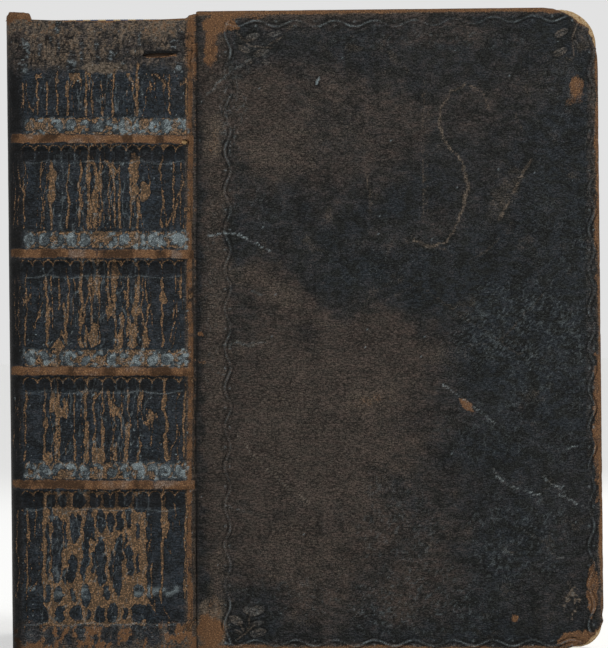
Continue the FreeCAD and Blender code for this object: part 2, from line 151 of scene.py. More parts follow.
def lattice(ix, iy, seed):
    """A number from 0 to 1 of its own for each whole x and y."""
    n = (ix * 374761393 + iy * 668265263 + seed * 974634777) & 0xFFFFFFFF
    n = ((n ^ (n >> 13)) * 1274126177) & 0xFFFFFFFF
    return ((n ^ (n >> 16)) & 0xFFFF) / 65535.0


def one_noise(x, y, seed):
    """The lattice's numbers, blended smoothly between its points."""
    ix = np.floor(x).astype(np.int64)
    iy = np.floor(y).astype(np.int64)
    fx = x - ix
    fy = y - iy
    fx = fx * fx * (3 - 2 * fx)
    fy = fy * fy * (3 - 2 * fy)
    low = lattice(ix, iy, seed) * (1 - fx) + lattice(ix + 1, iy, seed) * fx
    high = lattice(ix, iy + 1, seed) * (1 - fx) + lattice(ix + 1, iy + 1, seed) * fx
    return low * (1 - fy) + high * fy


def noise(x, y, size, seed, octaves=3):
    """Smooth noise from 0 to 1 whose largest blobs are about size across."""
    total = 0
    weight = 0
    for k in range(octaves):
        gain = 0.5 ** k
        total = total + gain * one_noise(x * 2 ** k / size, y * 2 ** k / size, seed + 31 * k)
        weight += gain
    return total / weight


def wander(along, size, seed):
    """Noise along one line, from -1 to 1."""
    return noise(along, np.full_like(along, seed * 7.3), size, seed, 2) * 2 - 1


def cell_walls(x, y, wide, tall, seed):
    """How far a point is from the nearest wall between cells, and its cell's own number."""
    gx = x / wide
    gy = y / tall
    ix = np.floor(gx).astype(np.int64)
    iy = np.floor(gy).astype(np.int64)
    near = np.full(gx.shape, 9.0)
    next_near = np.full(gx.shape, 9.0)
    owner = np.zeros(gx.shape)
    for ox in (-1, 0, 1):
        for oy in (-1, 0, 1):
            cx = ix + ox
            cy = iy + oy
            dist = np.hypot(
                cx + lattice(cx, cy, seed) - gx,
                cy + lattice(cx, cy, seed + 5) - gy,
            )
            closer = dist < near
            next_near = np.where(closer, near, np.minimum(next_near, dist))
            owner = np.where(closer, lattice(cx, cy, seed + 9), owner)
            near = np.where(closer, dist, near)
    return next_near - near, owner


def ramp(value, low, high):
    """Rises smoothly from 0 at low to 1 at high."""
    t = np.clip((value - low) / (high - low), 0, 1)
    return t * t * (3 - 2 * t)


def fade(value, low, high):
    """Falls smoothly from 1 at low to 0 at high."""
    return 1 - ramp(value, low, high)


def blot(px, py, x, y, reach_x, reach_y, turn=0, ragged=0.3, seed=1):
    """A soft patch with a ragged edge: 1 in its middle and 0 outside."""
    c = math.cos(math.radians(turn))
    s = math.sin(math.radians(turn))
    dx = (px - x) * c + (py - y) * s
    dy = (py - y) * c - (px - x) * s
    size = max(4.0, min(reach_x, reach_y) * 0.7)
    radius = np.hypot(dx / reach_x, dy / reach_y)
    radius = radius + ragged * (noise(px, py, size, seed) * 2 - 1)
    return 1 - ramp(radius, 0.55, 1.15)


FAR = 99.0
LINE_REACH = 12


def line_distance(px, py, points):
    """Distance to a line through points, for the pixels near it, and FAR elsewhere."""
    out = np.full(px.shape, FAR)
    xs, ys = zip(*points)
    near = (px > min(xs) - LINE_REACH) & (px < max(xs) + LINE_REACH)
    near &= (py > min(ys) - LINE_REACH) & (py < max(ys) + LINE_REACH)
    x = px[near]
    y = py[near]
    best = np.full(x.shape, FAR)
    for (ax, ay), (bx, by) in zip(points, points[1:]):
        dx = bx - ax
        dy = by - ay
        t = np.clip(((x - ax) * dx + (y - ay) * dy) / (dx * dx + dy * dy), 0, 1)
        best = np.minimum(best, np.hypot(x - ax - t * dx, y - ay - t * dy))
    out[near] = best
    return out


# The pattern of the spine leather, in pixels of the photograph

BAND_ROWS = (139.5, 254, 371, 484)
OVAL_ROWS = (127, 240, 358, 470, 634)
FESTOON_ROWS = (162, 276, 391, 508, 622)
PANELS = ((76, 117), (146, 230), (261, 348), (378, 462), (490, 628))

# Cracks down to the bare skin of the leather: x, first y, last y and width.
FISSURES = (
    (24, 80, 117, 2), (38, 72, 119, 2), (48, 80, 118, 2.5), (58, 66, 117, 2), (69, 80, 118, 4),
    (86, 70, 118, 3), (92, 78, 116, 2), (103, 80, 116, 1.5), (115, 66, 118, 3), (138, 62, 119, 4),
    (170, 72, 118, 2), (186, 76, 118, 3),
    (15, 146, 230, 1.8), (19, 150, 228, 2), (24.5, 146, 232, 2.2), (43, 146, 231, 2), (52, 146, 232, 4),
    (53, 168, 204, 9), (69, 150, 230, 2.5), (81, 146, 230, 3), (90, 146, 232, 4), (102, 150, 228, 2),
    (109, 156, 222, 1.5), (115, 146, 230, 2.5), (120, 160, 231, 2), (131, 146, 231, 3),
    (136, 150, 202, 10), (145, 184, 201, 9), (138, 196, 231, 4), (162, 150, 230, 2.5),
    (174, 150, 214, 1.5), (181, 146, 230, 1.5),
    (16, 261, 348, 1.8), (19.5, 264, 348, 2), (26.5, 264, 349, 2.2), (47, 261, 322, 2.5),
    (50, 304, 349, 5), (53, 262, 330, 2), (60, 268, 312, 2), (66, 300, 345, 3.5), (69, 262, 348, 2.5),
    (74, 270, 330, 1.5), (82, 262, 349, 4.5), (92, 261, 349, 2.5), (100.5, 262, 346, 2),
    (109, 261, 312, 4), (115, 261, 303, 8), (117, 300, 349, 3), (122, 310, 349, 5), (128, 264, 340, 2.5),
    (138, 262, 304, 6), (134, 300, 349, 6.5), (131, 322, 348, 8), (147, 272, 348, 1.8),
    (163, 300, 349, 3), (164, 262, 296, 2.5), (176, 264, 296, 1.5), (173, 296, 345, 1.5),
    (181, 262, 300, 3), (95, 322, 347, 8), (58, 338, 349, 8), (87, 325, 349, 3),
    (20, 380, 462, 1.8), (26.5, 378, 463, 2.4), (15.5, 380, 462, 1.6), (45, 376, 430, 2),
    (47, 415, 464, 4), (58, 376, 462, 3),
    (60, 410, 464, 3), (67, 398, 420, 2.5), (75, 390, 440, 2), (76, 436, 464, 3), (86, 378, 464, 3.5),
    (89, 420, 464, 5), (96, 384, 440, 2), (96, 430, 464, 4), (103, 376, 430, 2.2), (104, 424, 464, 4.5),
    (115, 378, 462, 2), (117, 440, 464, 4), (123, 382, 440, 1.5), (130, 376, 430, 2.5),
    (128, 420, 464, 5), (138, 392, 446, 1.8), (140, 440, 464, 4), (151, 408, 422, 5),
    (152, 418, 448, 1.8), (164, 376, 398, 3), (166, 390, 462, 5.5), (185, 378, 460, 2.5),
    (18, 492, 600, 2.2), (28, 500, 600, 2.2), (36, 494, 540, 1.8), (45, 490, 600, 3), (152, 560, 600, 2),
    (162, 490, 604, 3), (186, 490, 600, 3), (174, 490, 520, 2),
)

# Larger patches where the surface has flaked off: x, y, half width, half height.
FLAKES = (
    (144, 191, 6, 9), (94, 335, 7, 11), (60, 344, 8, 5), (70, 283, 2.5, 3), (163, 298, 6, 6),
    (115, 270, 8, 9), (54, 407, 4, 5), (66, 403, 3.5, 5), (151, 414, 4.5, 5), (118, 350, 9, 5),
    (100, 455, 10, 8), (50, 458, 7, 7), (166, 522, 5, 16), (136, 168, 5, 14), (165, 500, 3, 12),
)

# The lowest panel is worn to the skin but for plates: x, first y, last y, width and lean.
WORN_FIELD = (44, 147, 492, 624)
PLATES = (
    (58, 514, 583, 10, -1), (49, 522, 578, 4.5, 0), (75, 512, 543, 8.5, 3), (73, 554, 583, 9, 0),
    (87.5, 506, 580, 7.5, -7), (102, 508, 532, 8, 0), (102, 535, 585, 9, 1), (111, 510, 532, 7, 2),
    (119, 532, 593, 8.5, -2), (120.5, 510, 530, 7, 1), (130, 508, 528, 6, 0), (130.5, 544, 576, 7, 1),
    (66, 518, 548, 3, 1), (94.5, 516, 540, 4, 0), (47, 582, 602, 11, 0), (59.5, 585, 601, 8, 0),
    (87, 582, 605, 8, 0), (139, 584, 596, 12, 0), (108, 585, 599, 6, 0), (73, 587, 601, 6, 0),
    (43, 604, 622, 12, 0), (61, 605, 621, 9, 0), (77, 603, 621, 11, 1), (101, 605, 621, 10, 0),
    (113, 601, 623, 10, 0), (140, 603, 621, 15, 0), (126, 605, 619, 5, 0), (90, 607, 619, 4, 0),
    (80, 492, 508, 12, 0), (96, 492, 506, 9, 0), (110, 492, 506, 10, 0), (126, 490, 506, 11, 0),
    (64, 494, 506, 7, 0), (141, 494, 513, 11, 0), (52, 494, 508, 8, 0), (66, 566, 582, 4, 0),
    (95, 550, 574, 4, -1), (112, 548, 580, 3.5, 1), (139, 520, 540, 4, 0),
    (138, 552, 574, 3, 0), (80, 512, 530, 3, 0), (53, 508, 522, 4, 0), (126, 532, 560, 3, 0),
)

# Dark plates left along the tail: x, y, half width and half height.
TAIL_PLATES = (
    (30, 632, 13, 11), (50, 636, 5, 9), (60, 628, 3, 8), (69, 638, 3, 6), (82, 630, 4, 9),
    (108, 632, 6, 9), (116, 634, 4, 10), (139, 630, 9, 10), (154, 634, 8, 11), (130, 640, 3, 6),
    (98, 638, 2.5, 5), (172, 628, 5, 8),
)

# Short upright ladders in the head panel (x, first y, last y, width), dark seams across
# it (y, first x, last x), the worn head's edge and the slit with its pale lower lip.
HEAD_TICKS = (
    (26, 40, 61, 9), (58, 22, 34, 4), (73, 50, 72, 8), (83, 43, 62, 4), (98, 44, 64, 4), (112, 50, 64, 9),
    (174, 40, 50, 8), (52, 36, 48, 3), (60, 40, 58, 3), (140, 34, 46, 3), (24, 62, 74, 12), (124, 62, 73, 7),
    (179, 62, 76, 8), (40, 44, 56, 4),
)
HEAD_SEAMS = ((58, 16, 84), (50, 60, 130), (62, 90, 150), (42, 22, 60), (34, 70, 120), (46, 120, 180))
HEAD_EDGE = (
    (10, 22), (16, 15), (30, 16), (60, 19), (100, 20.6), (140, 19.4), (180, 18), (192, 16), (204, 14),
)
SLIT_LIP = ((148, 57.5), (160, 57), (176, 55.5))
SLIT_LINE = ((146, 53.6), (160, 54.2), (177, 53))

# How softly a crack's edge fades, in pixels, and how much of its width shows.
CRACK_SOFT = 3.0
CRACK_SCALE = 0.66

# Spacing of the tooled ovals, the arches under the bands and the swags, in pixels.
OVAL_PITCH = 13.6
ARCH_PITCH = 12.8
ARCH_DROP = 6.4
SWAG_PITCH = 45


def edge_of(distance, half):
    """A crack's edge as a mask: over 0.5 inside the crack and under 0.5 outside."""
    return np.clip(0.5 + (half - distance) / CRACK_SOFT, 0, 1)


def fissure(px, py, x, top, bottom, width, seed):
    """One crack from top to bottom, wandering, pointed at both ends, as an edge mask."""
    out = np.zeros(px.shape)
    near = (np.abs(px - x) < width / 2 + 11) & (py > top - 4) & (py < bottom + 4)
    if not near.any():
        return out
    y = py[near]
    middle = x + 2.4 * wander(y, 17, seed) + 1.1 * wander(y, 5, seed + 1)
    half = width * CRACK_SCALE * (0.5 + 0.42 * wander(y, 8, seed + 2))
    ends = ramp(y, top - 2, top + 5) * fade(y, bottom - 4, bottom + 3)
    half = half * ends - 0.9 * (1 - ends)
    out[near] = edge_of(np.abs(px[near] - middle), half)
    return out


def in_rows(py, rows, half, soft):
    """Soft level stripes at these heights."""
    return sum(1 - ramp(np.abs(py - row), half - soft, half + soft) for row in rows)


def warped(px, py, size, reach, seed):
    """Pixels moved about by noise, which makes the edges of a patch ragged."""
    return (
        px + reach * (noise(px, py, size, seed, 3) * 2 - 1),
        py + reach * (noise(px, py, size, seed + 4, 3) * 2 - 1),
    )


def oval_pattern(px, py):
    """The tooled ovals above each band: height of the dome, edge mask and own number."""
    row_away = np.array([py - row for row in OVAL_ROWS])
    row = np.argmin(np.abs(row_away), axis=0)
    y = np.take_along_axis(row_away, row[None, :], 0)[0]
    step = (px + 3.0 * wander(px, 34, 44) + 3) / OVAL_PITCH
    number = np.floor(step).astype(np.int64)
    own = lattice(number, row, 45)
    x = (step - number - 0.5) * OVAL_PITCH + (own - 0.5) * 2.5
    radius = np.hypot(x / (5.6 + 1.2 * own), y / 7.6)
    return np.clip(1 - radius, 0, 1), radius, own


def arch_pattern(px, py):
    """The dark cells under each band: an edge mask of their arched walls, and a mask of their insides."""
    wall = np.zeros(px.shape)
    inside = np.zeros(px.shape)
    for k, (row, band) in enumerate(zip(FESTOON_ROWS, BAND_ROWS)):
        step = (px + 4 * wander(px, 28, 37 + k) + 2 + 5 * k) / ARCH_PITCH
        x = (step - np.floor(step) - 0.5) * ARCH_PITCH
        lean = np.clip(np.abs(x) / (ARCH_PITCH / 2), 0, 1)
        roof = band + ARCH_DROP + 7 * (1 - np.sqrt(1 - 0.96 * lean ** 2))
        below = fade(py, row - 3, row + 3)
        steep = 1 + 2.4 * lean ** 3
        wall = np.maximum(wall, edge_of(np.abs(py - roof) / steep, 0.55) * below * (py > band))
        inside = np.maximum(inside, ramp(py - roof, 0, 2.5) * below * fade(lean, 0.8, 1))
    return wall, inside


def long_cracks(px, py):
    """The main cracks and the flakes beside them, as an edge mask."""
    crack = np.zeros(px.shape)
    for k, (x, top, bottom, width) in enumerate(FISSURES):
        crack = np.maximum(crack, fissure(px, py, x, top, bottom, width, 50 + k))
    wx, wy = warped(px, py, 7, 2.6, 191)
    flake_edge = noise(px, py, 4, 195, 2)
    for x, y, wide, tall in FLAKES:
        taper = 1 + 0.5 * np.clip((wy - y) / (2.2 * tall), -1, 1)
        radius = np.hypot((wx - x) / (0.66 * wide * taper), (wy - y) / (1.25 * tall))
        torn = radius + 0.30 * (flake_edge - 0.5)
        crack = np.maximum(crack, edge_of((torn - 0.85) * min(wide, tall), 0.0))
    return crack


def worn_panel(wx, wy):
    """The lowest panel, bare skin but for its plates, as an edge mask."""
    first_x, last_x, first_y, last_y = WORN_FIELD
    field = np.minimum(np.minimum(wx - first_x, last_x - wx), np.minimum(wy - first_y, last_y - wy))
    field = edge_of(-field, 0.0)
    for x, top, bottom, width, lean in PLATES:
        along = (wy - top) / (bottom - top) * 2 - 1
        bow = np.sqrt(np.clip(1 - np.clip(np.abs(along), 0, 1) ** 4, 0, 1))
        past_end = 27 * np.clip(np.abs(along) - 1, 0, None)
        away = np.abs(wx - x - lean * along / 2) - width / 2 * bow + past_end
        field = np.minimum(field, edge_of(-away, 0.0))
    return field


def swag_lines(px, py):
    """Thin swagged lines tooled under the arches."""
    swag = 3.0 * np.abs(np.sin(math.pi * (px - 4) / SWAG_PITCH)) + 0.9 * wander(px, 12, 31)
    festoon = np.zeros(px.shape)
    for row in FESTOON_ROWS:
        festoon = np.maximum(festoon, fade(np.abs(py - row + 1 - swag), 0.3, 1.5))
    festoon = festoon * ramp(px, 20, 28) * fade(px, 182, 188)
    festoon = festoon * (0.4 + 0.8 * noise(px, py, 9, 73, 2))
    return festoon


def head_ladders(px, py, wx, wy, tan, pale, dark, scuff):
    """Upright ladders of bluish rungs in the head panel, laid over its masks."""
    for x, top, bottom, width in HEAD_TICKS:
        away_x = np.abs(wx - x - 0.8 * wander(py, 6, 300 + x)) - width / 2
        away_y = np.maximum(top - wy, wy - bottom)
        tick = fade(np.maximum(away_x, away_y), -1.2, 1.0)
        bar = (wy + 0.4 * (px - x) * wander(py, 9, 330 + x)) / (2.7 + 0.5 * wander(py, 7, 360 + x))
        bar = fade(np.abs(bar - np.round(bar)), 0.06, 0.42)
        bar = bar * ramp(noise(px, py, 3.4, 380 + x, 2), 0.26, 0.60)
        scuff = scuff * (1 - 0.80 * tick)
        tan = tan * (1 - 0.80 * tick)
        pale = np.maximum(pale * (1 - tick), tick * (0.08 + 0.48 * bar))
        dark = np.maximum(dark * (1 - tick), tick * 0.60 * (1 - bar))
        side = fade(np.abs(away_x - 1.4), 0.5, 1.6)
        dark = np.maximum(dark, side * (away_y < 0) * 0.35)
    return tan, pale, dark, scuff


def oval_marks(px, py, ovals, tail_ovals, middle, crack):
    """Light on the tooled ovals, the cracks round them, the worn ones and their domes."""
    dome, radius, own = oval_pattern(px, py)
    shine = noise(px, py, 3.2, 61, 2)
    bright = 0.42 + 0.58 * np.maximum(ramp(px, 116, 140) * fade(px, 158, 163), ramp(px, 165, 172))
    worn = noise(px, py, 8, 66, 3) + 0.08 * middle
    oval_tan = ovals * ramp(worn, 0.56, 0.66)
    rim_light = fade(np.abs(radius - 0.72), 0.08, 0.26) * ramp(shine, 0.36, 0.66)
    pale = ovals * (0.30 + 0.24 * ramp(dome, 0.02, 0.30) * (0.3 + own)) * (0.55 + 0.45 * bright)
    pale = pale + ovals * rim_light * (0.10 + 0.34 * bright)
    pale = pale + ovals * ramp(shine, 0.60, 0.76) * (0.18 + 0.60 * bright)
    pale = np.maximum(pale, tail_ovals * 0.20 * ramp(dome, 0.05, 0.35) * (own > 0.4))
    pale = pale * (1 - 0.60 * oval_tan)
    crack = crack * (1 - 0.42 * ovals)
    oval_gap = edge_of(np.abs(radius - 1.10) * 6, 0.9) * ovals
    crack = np.maximum(crack, oval_gap * (shine > 0.40))
    crack = np.maximum(crack, oval_tan * 0.56)
    return pale, crack, oval_tan, dome


def spine_fields(px, py):
    """Masks and relief of the spine leather at these pixels."""
    bands = in_rows(py + 1.2 * wander(px, 20, 5) + 0.8 * wander(px, 5, 6), BAND_ROWS, 4.6, 1.5)
    bands = bands * ramp(px, 8, 14)
    ovals = in_rows(py, OVAL_ROWS[:4], 9.5, 2.5) * ramp(px, 19, 28) * fade(px, 186, 192)
    tail_ovals = in_rows(py, OVAL_ROWS[4:], 9, 3) * ramp(px, 14, 20) * fade(px, 184, 192)
    head = fade(py + 6 * wander(px, 22, 8) + 3 * wander(px, 6, 9), 58, 76)
    tail = ramp(py + 4 * wander(px, 14, 10), 617, 626)
    left = fade(px, 19, 28)
    right = ramp(px, 183, 187.5)
    middle = ramp(px, 30, 52) * fade(px, 138, 160)

    crack = long_cracks(px, py)

    wx, wy = warped(px, py, 6, 3.0, 197)
    blue_sheen = np.zeros(px.shape)
    field = worn_panel(wx, wy)
    crack = np.maximum(crack, field)
    for x, y, wide, tall in TAIL_PLATES:
        radius = (np.abs(wx - x) / wide) ** 3 + (np.abs(wy - y) / tall) ** 3
        slate = 0.62 * fade(radius, 0.4, 1.1)
        tail = tail * (1 - slate)
        blue_sheen = np.maximum(blue_sheen, slate)

    # finer cracks run between the large ones, thickest down the middle of the spine
    in_panel = sum(ramp(py, a - 6, a + 2) * fade(py, b - 2, b + 8) for a, b in PANELS)
    above_field = 1 - ramp(py, 488, 496) * ramp(px, 40, 46) * fade(px, 144, 150)
    wall, owner = cell_walls(px + 4 * wander(py, 14, 3), py, 7.5, 80, 21)
    fine = edge_of(wall * 7.5, 0.75) * (owner > 0.45) * ramp(in_panel, 0.3, 0.6) * above_field
    crack = np.maximum(crack, fine * (0.80 + 0.20 * middle))
    hair, owner = cell_walls(px + 3 * wander(py, 9, 4), py, 4.5, 26, 27)
    hairline = fade(hair, 0.03, 0.20) * (owner > 0.35) * (0.35 + 0.65 * middle)

    arch_wall, arch_inside = arch_pattern(px, py)
    arch_wall = arch_wall * ramp(px, 16, 24) * fade(px, 182, 188)
    crack = np.maximum(crack * (1 - 0.35 * arch_inside), arch_wall)

    pale, crack, oval_tan, dome = oval_marks(px, py, ovals, tail_ovals, middle, crack)

    tan = oval_tan * 0.18
    tan = np.maximum(tan, bands * (0.40 + 0.75 * noise(px, py, 7, 71)))

    festoon = swag_lines(px, py)
    pale = np.maximum(pale, festoon * 0.42)
    pale = np.maximum(pale, hairline * 0.40 * in_panel)
    dark = arch_inside * 0.62 * ramp(px, 12, 20) * fade(px, 184, 190)
    stain = noise(px, py * 0.5, 16, 75, 3)
    dark = np.maximum(dark, bands * 0.60 * ramp(stain, 0.46, 0.66))
    pale = np.maximum(pale, bands * 0.30 * ramp(1 - stain, 0.50, 0.68))

    # light caught by the lifted lower ends of the plates
    lifted = in_rows(py + 3 * wander(px, 16, 203), (590,), 6, 5) * ramp(px, 20, 34) * fade(px, 176, 184)
    glints = 0.25 + 0.75 * ramp(noise(px * 0.6, py, 6, 205, 2), 0.44, 0.66)
    pale = np.maximum(pale, lifted * glints * 0.60 * fade(crack, 0.4, 0.55))
    pale = np.maximum(pale, blue_sheen * glints * 0.20)

    # speckled head and tail zones
    freckle = noise(px * 1.3, py, 2.6, 81, 2)
    cloud = noise(px, py, 18, 82, 3)
    upper = fade(py + 4 * wander(px, 9, 85), 30, 40)
    scuff = head * (0.20 + 0.85 * ramp(freckle * 0.5 + cloud * 0.6, 0.42, 0.70)) * (0.75 + 0.35 * upper)
    tan = np.maximum(tan, head * (0.38 + 0.12 * upper) * ramp(freckle * 0.6 + cloud * 0.5, 0.46, 0.72))
    tan = np.maximum(tan, tail * (0.1 + 0.95 * ramp(freckle * 0.5 + cloud * 0.6, 0.45, 0.66)) * 0.8)
    scuff = np.maximum(scuff, tail * 0.45)
    net, owner = cell_walls(*warped(px, py, 7, 3, 83), 5, 9, 84)
    dark = np.maximum(dark, head * (1 - upper) * fade(net, 0.05, 0.35) * (owner > 0.25) * 0.8)
    tan, pale, dark, scuff = head_ladders(px, py, wx, wy, tan, pale, dark, scuff)
    for y, left_end, right_end in HEAD_SEAMS:
        halfway = (left_end + right_end) / 2
        seam = line_distance(px, py, [(left_end, y), (halfway, y + 2), (right_end, y - 1)])
        seam = seam + 1.8 * np.abs(wander(px, 8, y))
        dark = np.maximum(dark, fade(seam, 0.6, 2.4) * 0.40)
    stripe = blot(wx, wy, 106, 69, 28, 7, 0, 0.3, 91)
    scuff = np.maximum(scuff, stripe * 0.9)

    # a rim of bare skin along the worn head, and the slit's pale lower lip
    edge_x, edge_y = zip(*HEAD_EDGE)
    from_edge = py - np.interp(px, edge_x, edge_y) + 1.2 * wander(px, 7, 93)
    rim = fade(from_edge, 1.0, 4.5)
    tan = np.maximum(tan, rim * (0.75 + 0.5 * freckle))
    tan = np.maximum(tan, fade(line_distance(px, py, SLIT_LIP), 0.8, 2.2))
    dark = np.maximum(dark, fade(line_distance(px, py, SLIT_LINE), 1.2, 3.0))
    reddish = blot(wx, wy, 138, 54, 9, 4, 0, 0.3, 95)
    scuff = np.maximum(scuff, reddish * 0.8)

    # painted shade darkens the left shoulder, which keeps thin pale lines; the right one is brown
    orange_top = ramp(px, 180, 192) * fade(py, 60, 84) * ramp(py, 16, 22)
    ridge = noise(px, py, 5, 97, 3)
    strip_line = fade(np.abs(px - 190 - 1.5 * wander(py, 30, 98)), 1.5, 4.5)
    tan = np.maximum(tan, right * (0.05 + 0.60 * strip_line) * (0.35 + 1.2 * ridge))
    tan = np.maximum(tan, orange_top * (0.30 + 0.9 * ridge))
    scuff = np.maximum(scuff, right * 0.65 * ridge)
    brown = 0.28 * noise(px, py, 30, 99) + 0.55 * right + 0.35 * head + 0.25 * tail + 0.18 * left
    # painted shade on the left shoulder, where the round turns away from the light
    dark = np.maximum(dark, left * 0.72 * (1 - 0.8 * head) * (1 - bands) * fade(crack, 0.4, 0.6))
    crack = crack * (1 - 0.2 * left)
    speck = (noise(px, py, 1.7, 101, 1) > 0.955) * 0.7
    pale = np.maximum(pale, speck * (1 - bands))

    bare = ramp(crack, 0.35, 0.65)
    relief = 0.15 * dome * np.maximum(ovals, tail_ovals) * (1 - oval_tan)
    relief = relief - 0.20 * bare * (1 - bands)
    relief = relief - 0.08 * dark + 0.07 * festoon + 0.10 * (noise(px, py, 8, 111) - 0.5)
    relief = relief + 0.16 * (freckle - 0.5) * np.maximum(head, ovals)
    return {
        "tan": tan, "crack": crack, "brown": brown, "pale": pale,
        "dark": dark, "scuff": scuff, "relief": relief,
    }


# The pattern of a cover's leather, in pixels of the photograph

ROLL_TOP, ROLL_BOTTOM, ROLL_LEFT, ROLL_RIGHT = 23.5, 643, 227.5, 591.5
ROLL_WAVE = 39.5
ROLL_SWING = 3.0
ROLL_START_X, ROLL_START_Y = 256, 52
DOT_SWING = 2.2


def half_waves(along, start):
    """Distance to the nearest crest of the wavy line, and the side that it swings to."""
    count = (along - start) / ROLL_WAVE * 2
    near = np.abs(count - np.round(count)) * ROLL_WAVE / 2
    return near, DOT_SWING * np.cos(math.pi * np.round(count))


def wave_roll(px, py):
    """Distance to the wavy line tooled along the four edges, and to its dots."""
    swing_x = ROLL_SWING * np.cos(2 * math.pi * (px - ROLL_START_X) / ROLL_WAVE)
    swing_y = ROLL_SWING * np.cos(2 * math.pi * (py - ROLL_START_Y) / ROLL_WAVE)
    near_x, side_x = half_waves(px, ROLL_START_X)
    near_y, side_y = half_waves(py, ROLL_START_Y)
    inside_x = (px > ROLL_LEFT - 3) & (px < ROLL_RIGHT + 3)
    inside_y = (py > ROLL_TOP - 3) & (py < ROLL_BOTTOM + 3)
    top_row = ROLL_TOP - 5.5 * ramp(px, 380, 560)
    best = np.full(px.shape, FAR)
    dots = np.full(px.shape, FAR)
    for row in (top_row, ROLL_BOTTOM):
        line = np.abs(py - (row - swing_x)) * 0.9
        best = np.where(inside_x, np.minimum(best, line), best)
        dots = np.where(inside_x, np.minimum(dots, np.hypot(near_x, py - row - side_x)), dots)
    for column in (ROLL_LEFT, ROLL_RIGHT):
        line = np.abs(px - (column + swing_y)) * 0.9
        best = np.where(inside_y, np.minimum(best, line), best)
        dots = np.where(inside_y, np.minimum(dots, np.hypot(px - column + side_y, near_y)), dots)
    return best, dots


# Leaf sprigs tooled in three corners: x, y, half length, half width and turn of each leaf.
SPRIG_LEAVES = (
    (256, 611, 9.5, 5.2, -18), (257, 623.5, 7, 2.8, -10), (258, 633, 9, 4.6, -14),
    (236, 620.5, 8, 4.6, 30), (238, 632, 5, 2.4, 25), (246, 610, 3.4, 4.0, 0),
    (561, 33, 8, 4, -30), (560, 52, 8, 4, -25), (576, 44, 5, 2.5, 60), (570, 58, 4, 2, 10),
    (252, 37, 8, 4, -20), (244, 49, 7, 3.6, 25), (260, 53, 8, 4, -20), (267, 63, 6, 2.6, 30),
    (274, 34, 8, 3, -15), (248, 62, 4, 2.6, 10),
)
SPRIG_STEMS = (
    ((236, 640), (246, 633), (250, 622), (247, 612)), ((247, 632), (256, 624)), ((245, 634), (239, 622)),
    ((578, 22), (572, 38), (574, 56)),
    ((236, 32), (250, 46), (272, 48)),
)

# Brown areas of the board: x, y, half width, half height, turn and strength.
BROWN_AREAS = (
    (325, 135, 95, 85, 0, 0.55), (345, 400, 130, 95, -8, 0.62), (300, 500, 95, 120, 6, 0.62),
    (288, 296, 62, 22, 36, 0.55), (465, 80, 95, 85, 0, 0.20), (400, 340, 80, 36, -10, 0.42),
    (215, 330, 16, 340, 0, 0.55), (250, 400, 60, 140, 0, 0.34), (212, 60, 18, 60, 0, 0.5),
    (560, 590, 60, 60, 0, 0.25), (420, 560, 60, 80, 0, 0.26), (240, 130, 60, 90, 0, 0.30),
    (500, 210, 60, 60, 0, 0.14), (545, 500, 50, 60, 0, 0.16), (352, 395, 60, 40, 0, 0.35),
    (410, 232, 70, 20, -14, 0.22), (330, 20, 140, 10, 0, 0.30), (450, 35, 60, 14, 0, 0.24),
    (470, 500, 55, 42, 20, 0.46), (562, 470, 40, 60, 0, 0.42), (540, 600, 60, 36, 0, 0.40),
    (500, 420, 46, 30, 0, 0.34), (578, 540, 22, 60, 0, 0.34), (430, 590, 60, 40, 0, 0.24),
    (594, 250, 8, 260, 0, 0.42), (470, 560, 50, 40, 0, 0.22),
)

# Patches rubbed down to tan skin: x, y, half width, half height, turn and strength.
TAN_AREAS = (
    (219, 24, 20, 13, 0, 0.85), (211, 46, 9, 32, 0, 0.62), (209, 634, 16, 24, 0, 0.80),
    (371, 401, 22, 9, -12, 0.36), (285, 400, 15, 5, 0, 0.30), (213, 140, 9, 26, 0, 0.34),
    (576, 88, 9, 19, 0, 0.58), (515, 618, 5, 5, 0, 0.8), (582, 638, 26, 9, 0, 0.80),
    (467, 405, 11, 4.5, 38, 1.1), (585, 18, 14, 10, 0, 0.55), (201, 334, 4, 3, 0, 0.7),
    (597, 420, 5, 90, 0, 0.62), (597, 200, 4, 120, 0, 0.40), (592, 590, 7, 34, 0, 0.70),
    (575, 640, 22, 7, -12, 0.75), (214, 610, 9, 22, 0, 0.42),
    (203, 362, 6, 2.5, 0, 0.6), (248, 16, 34, 4, 0, 0.5), (570, 100, 5, 8, 20, 0.4),
)

# Lighter, dusty patches: x, y, half width, half height, turn and strength.
SCUFFED_AREAS = (
    (371, 400, 34, 18, -12, 0.36), (290, 398, 40, 14, 0, 0.24), (330, 430, 100, 110, 0, 0.20),
    (285, 150, 45, 40, -20, 0.26), (340, 110, 50, 50, 0, 0.16), (213, 140, 12, 30, 0, 0.45),
    (216, 300, 12, 200, 0, 0.22), (505, 195, 12, 40, 33, 0.30), (300, 555, 60, 40, 0, 0.22),
    (220, 590, 14, 60, 0, 0.28), (210, 628, 20, 34, 0, 0.75), (450, 355, 26, 14, 0, 0.24),
    (240, 275, 16, 12, 20, 0.32),
    (275, 290, 34, 12, 36, 0.30), (556, 75, 30, 30, 0, 0.14), (590, 300, 6, 280, 0, 0.20),
)

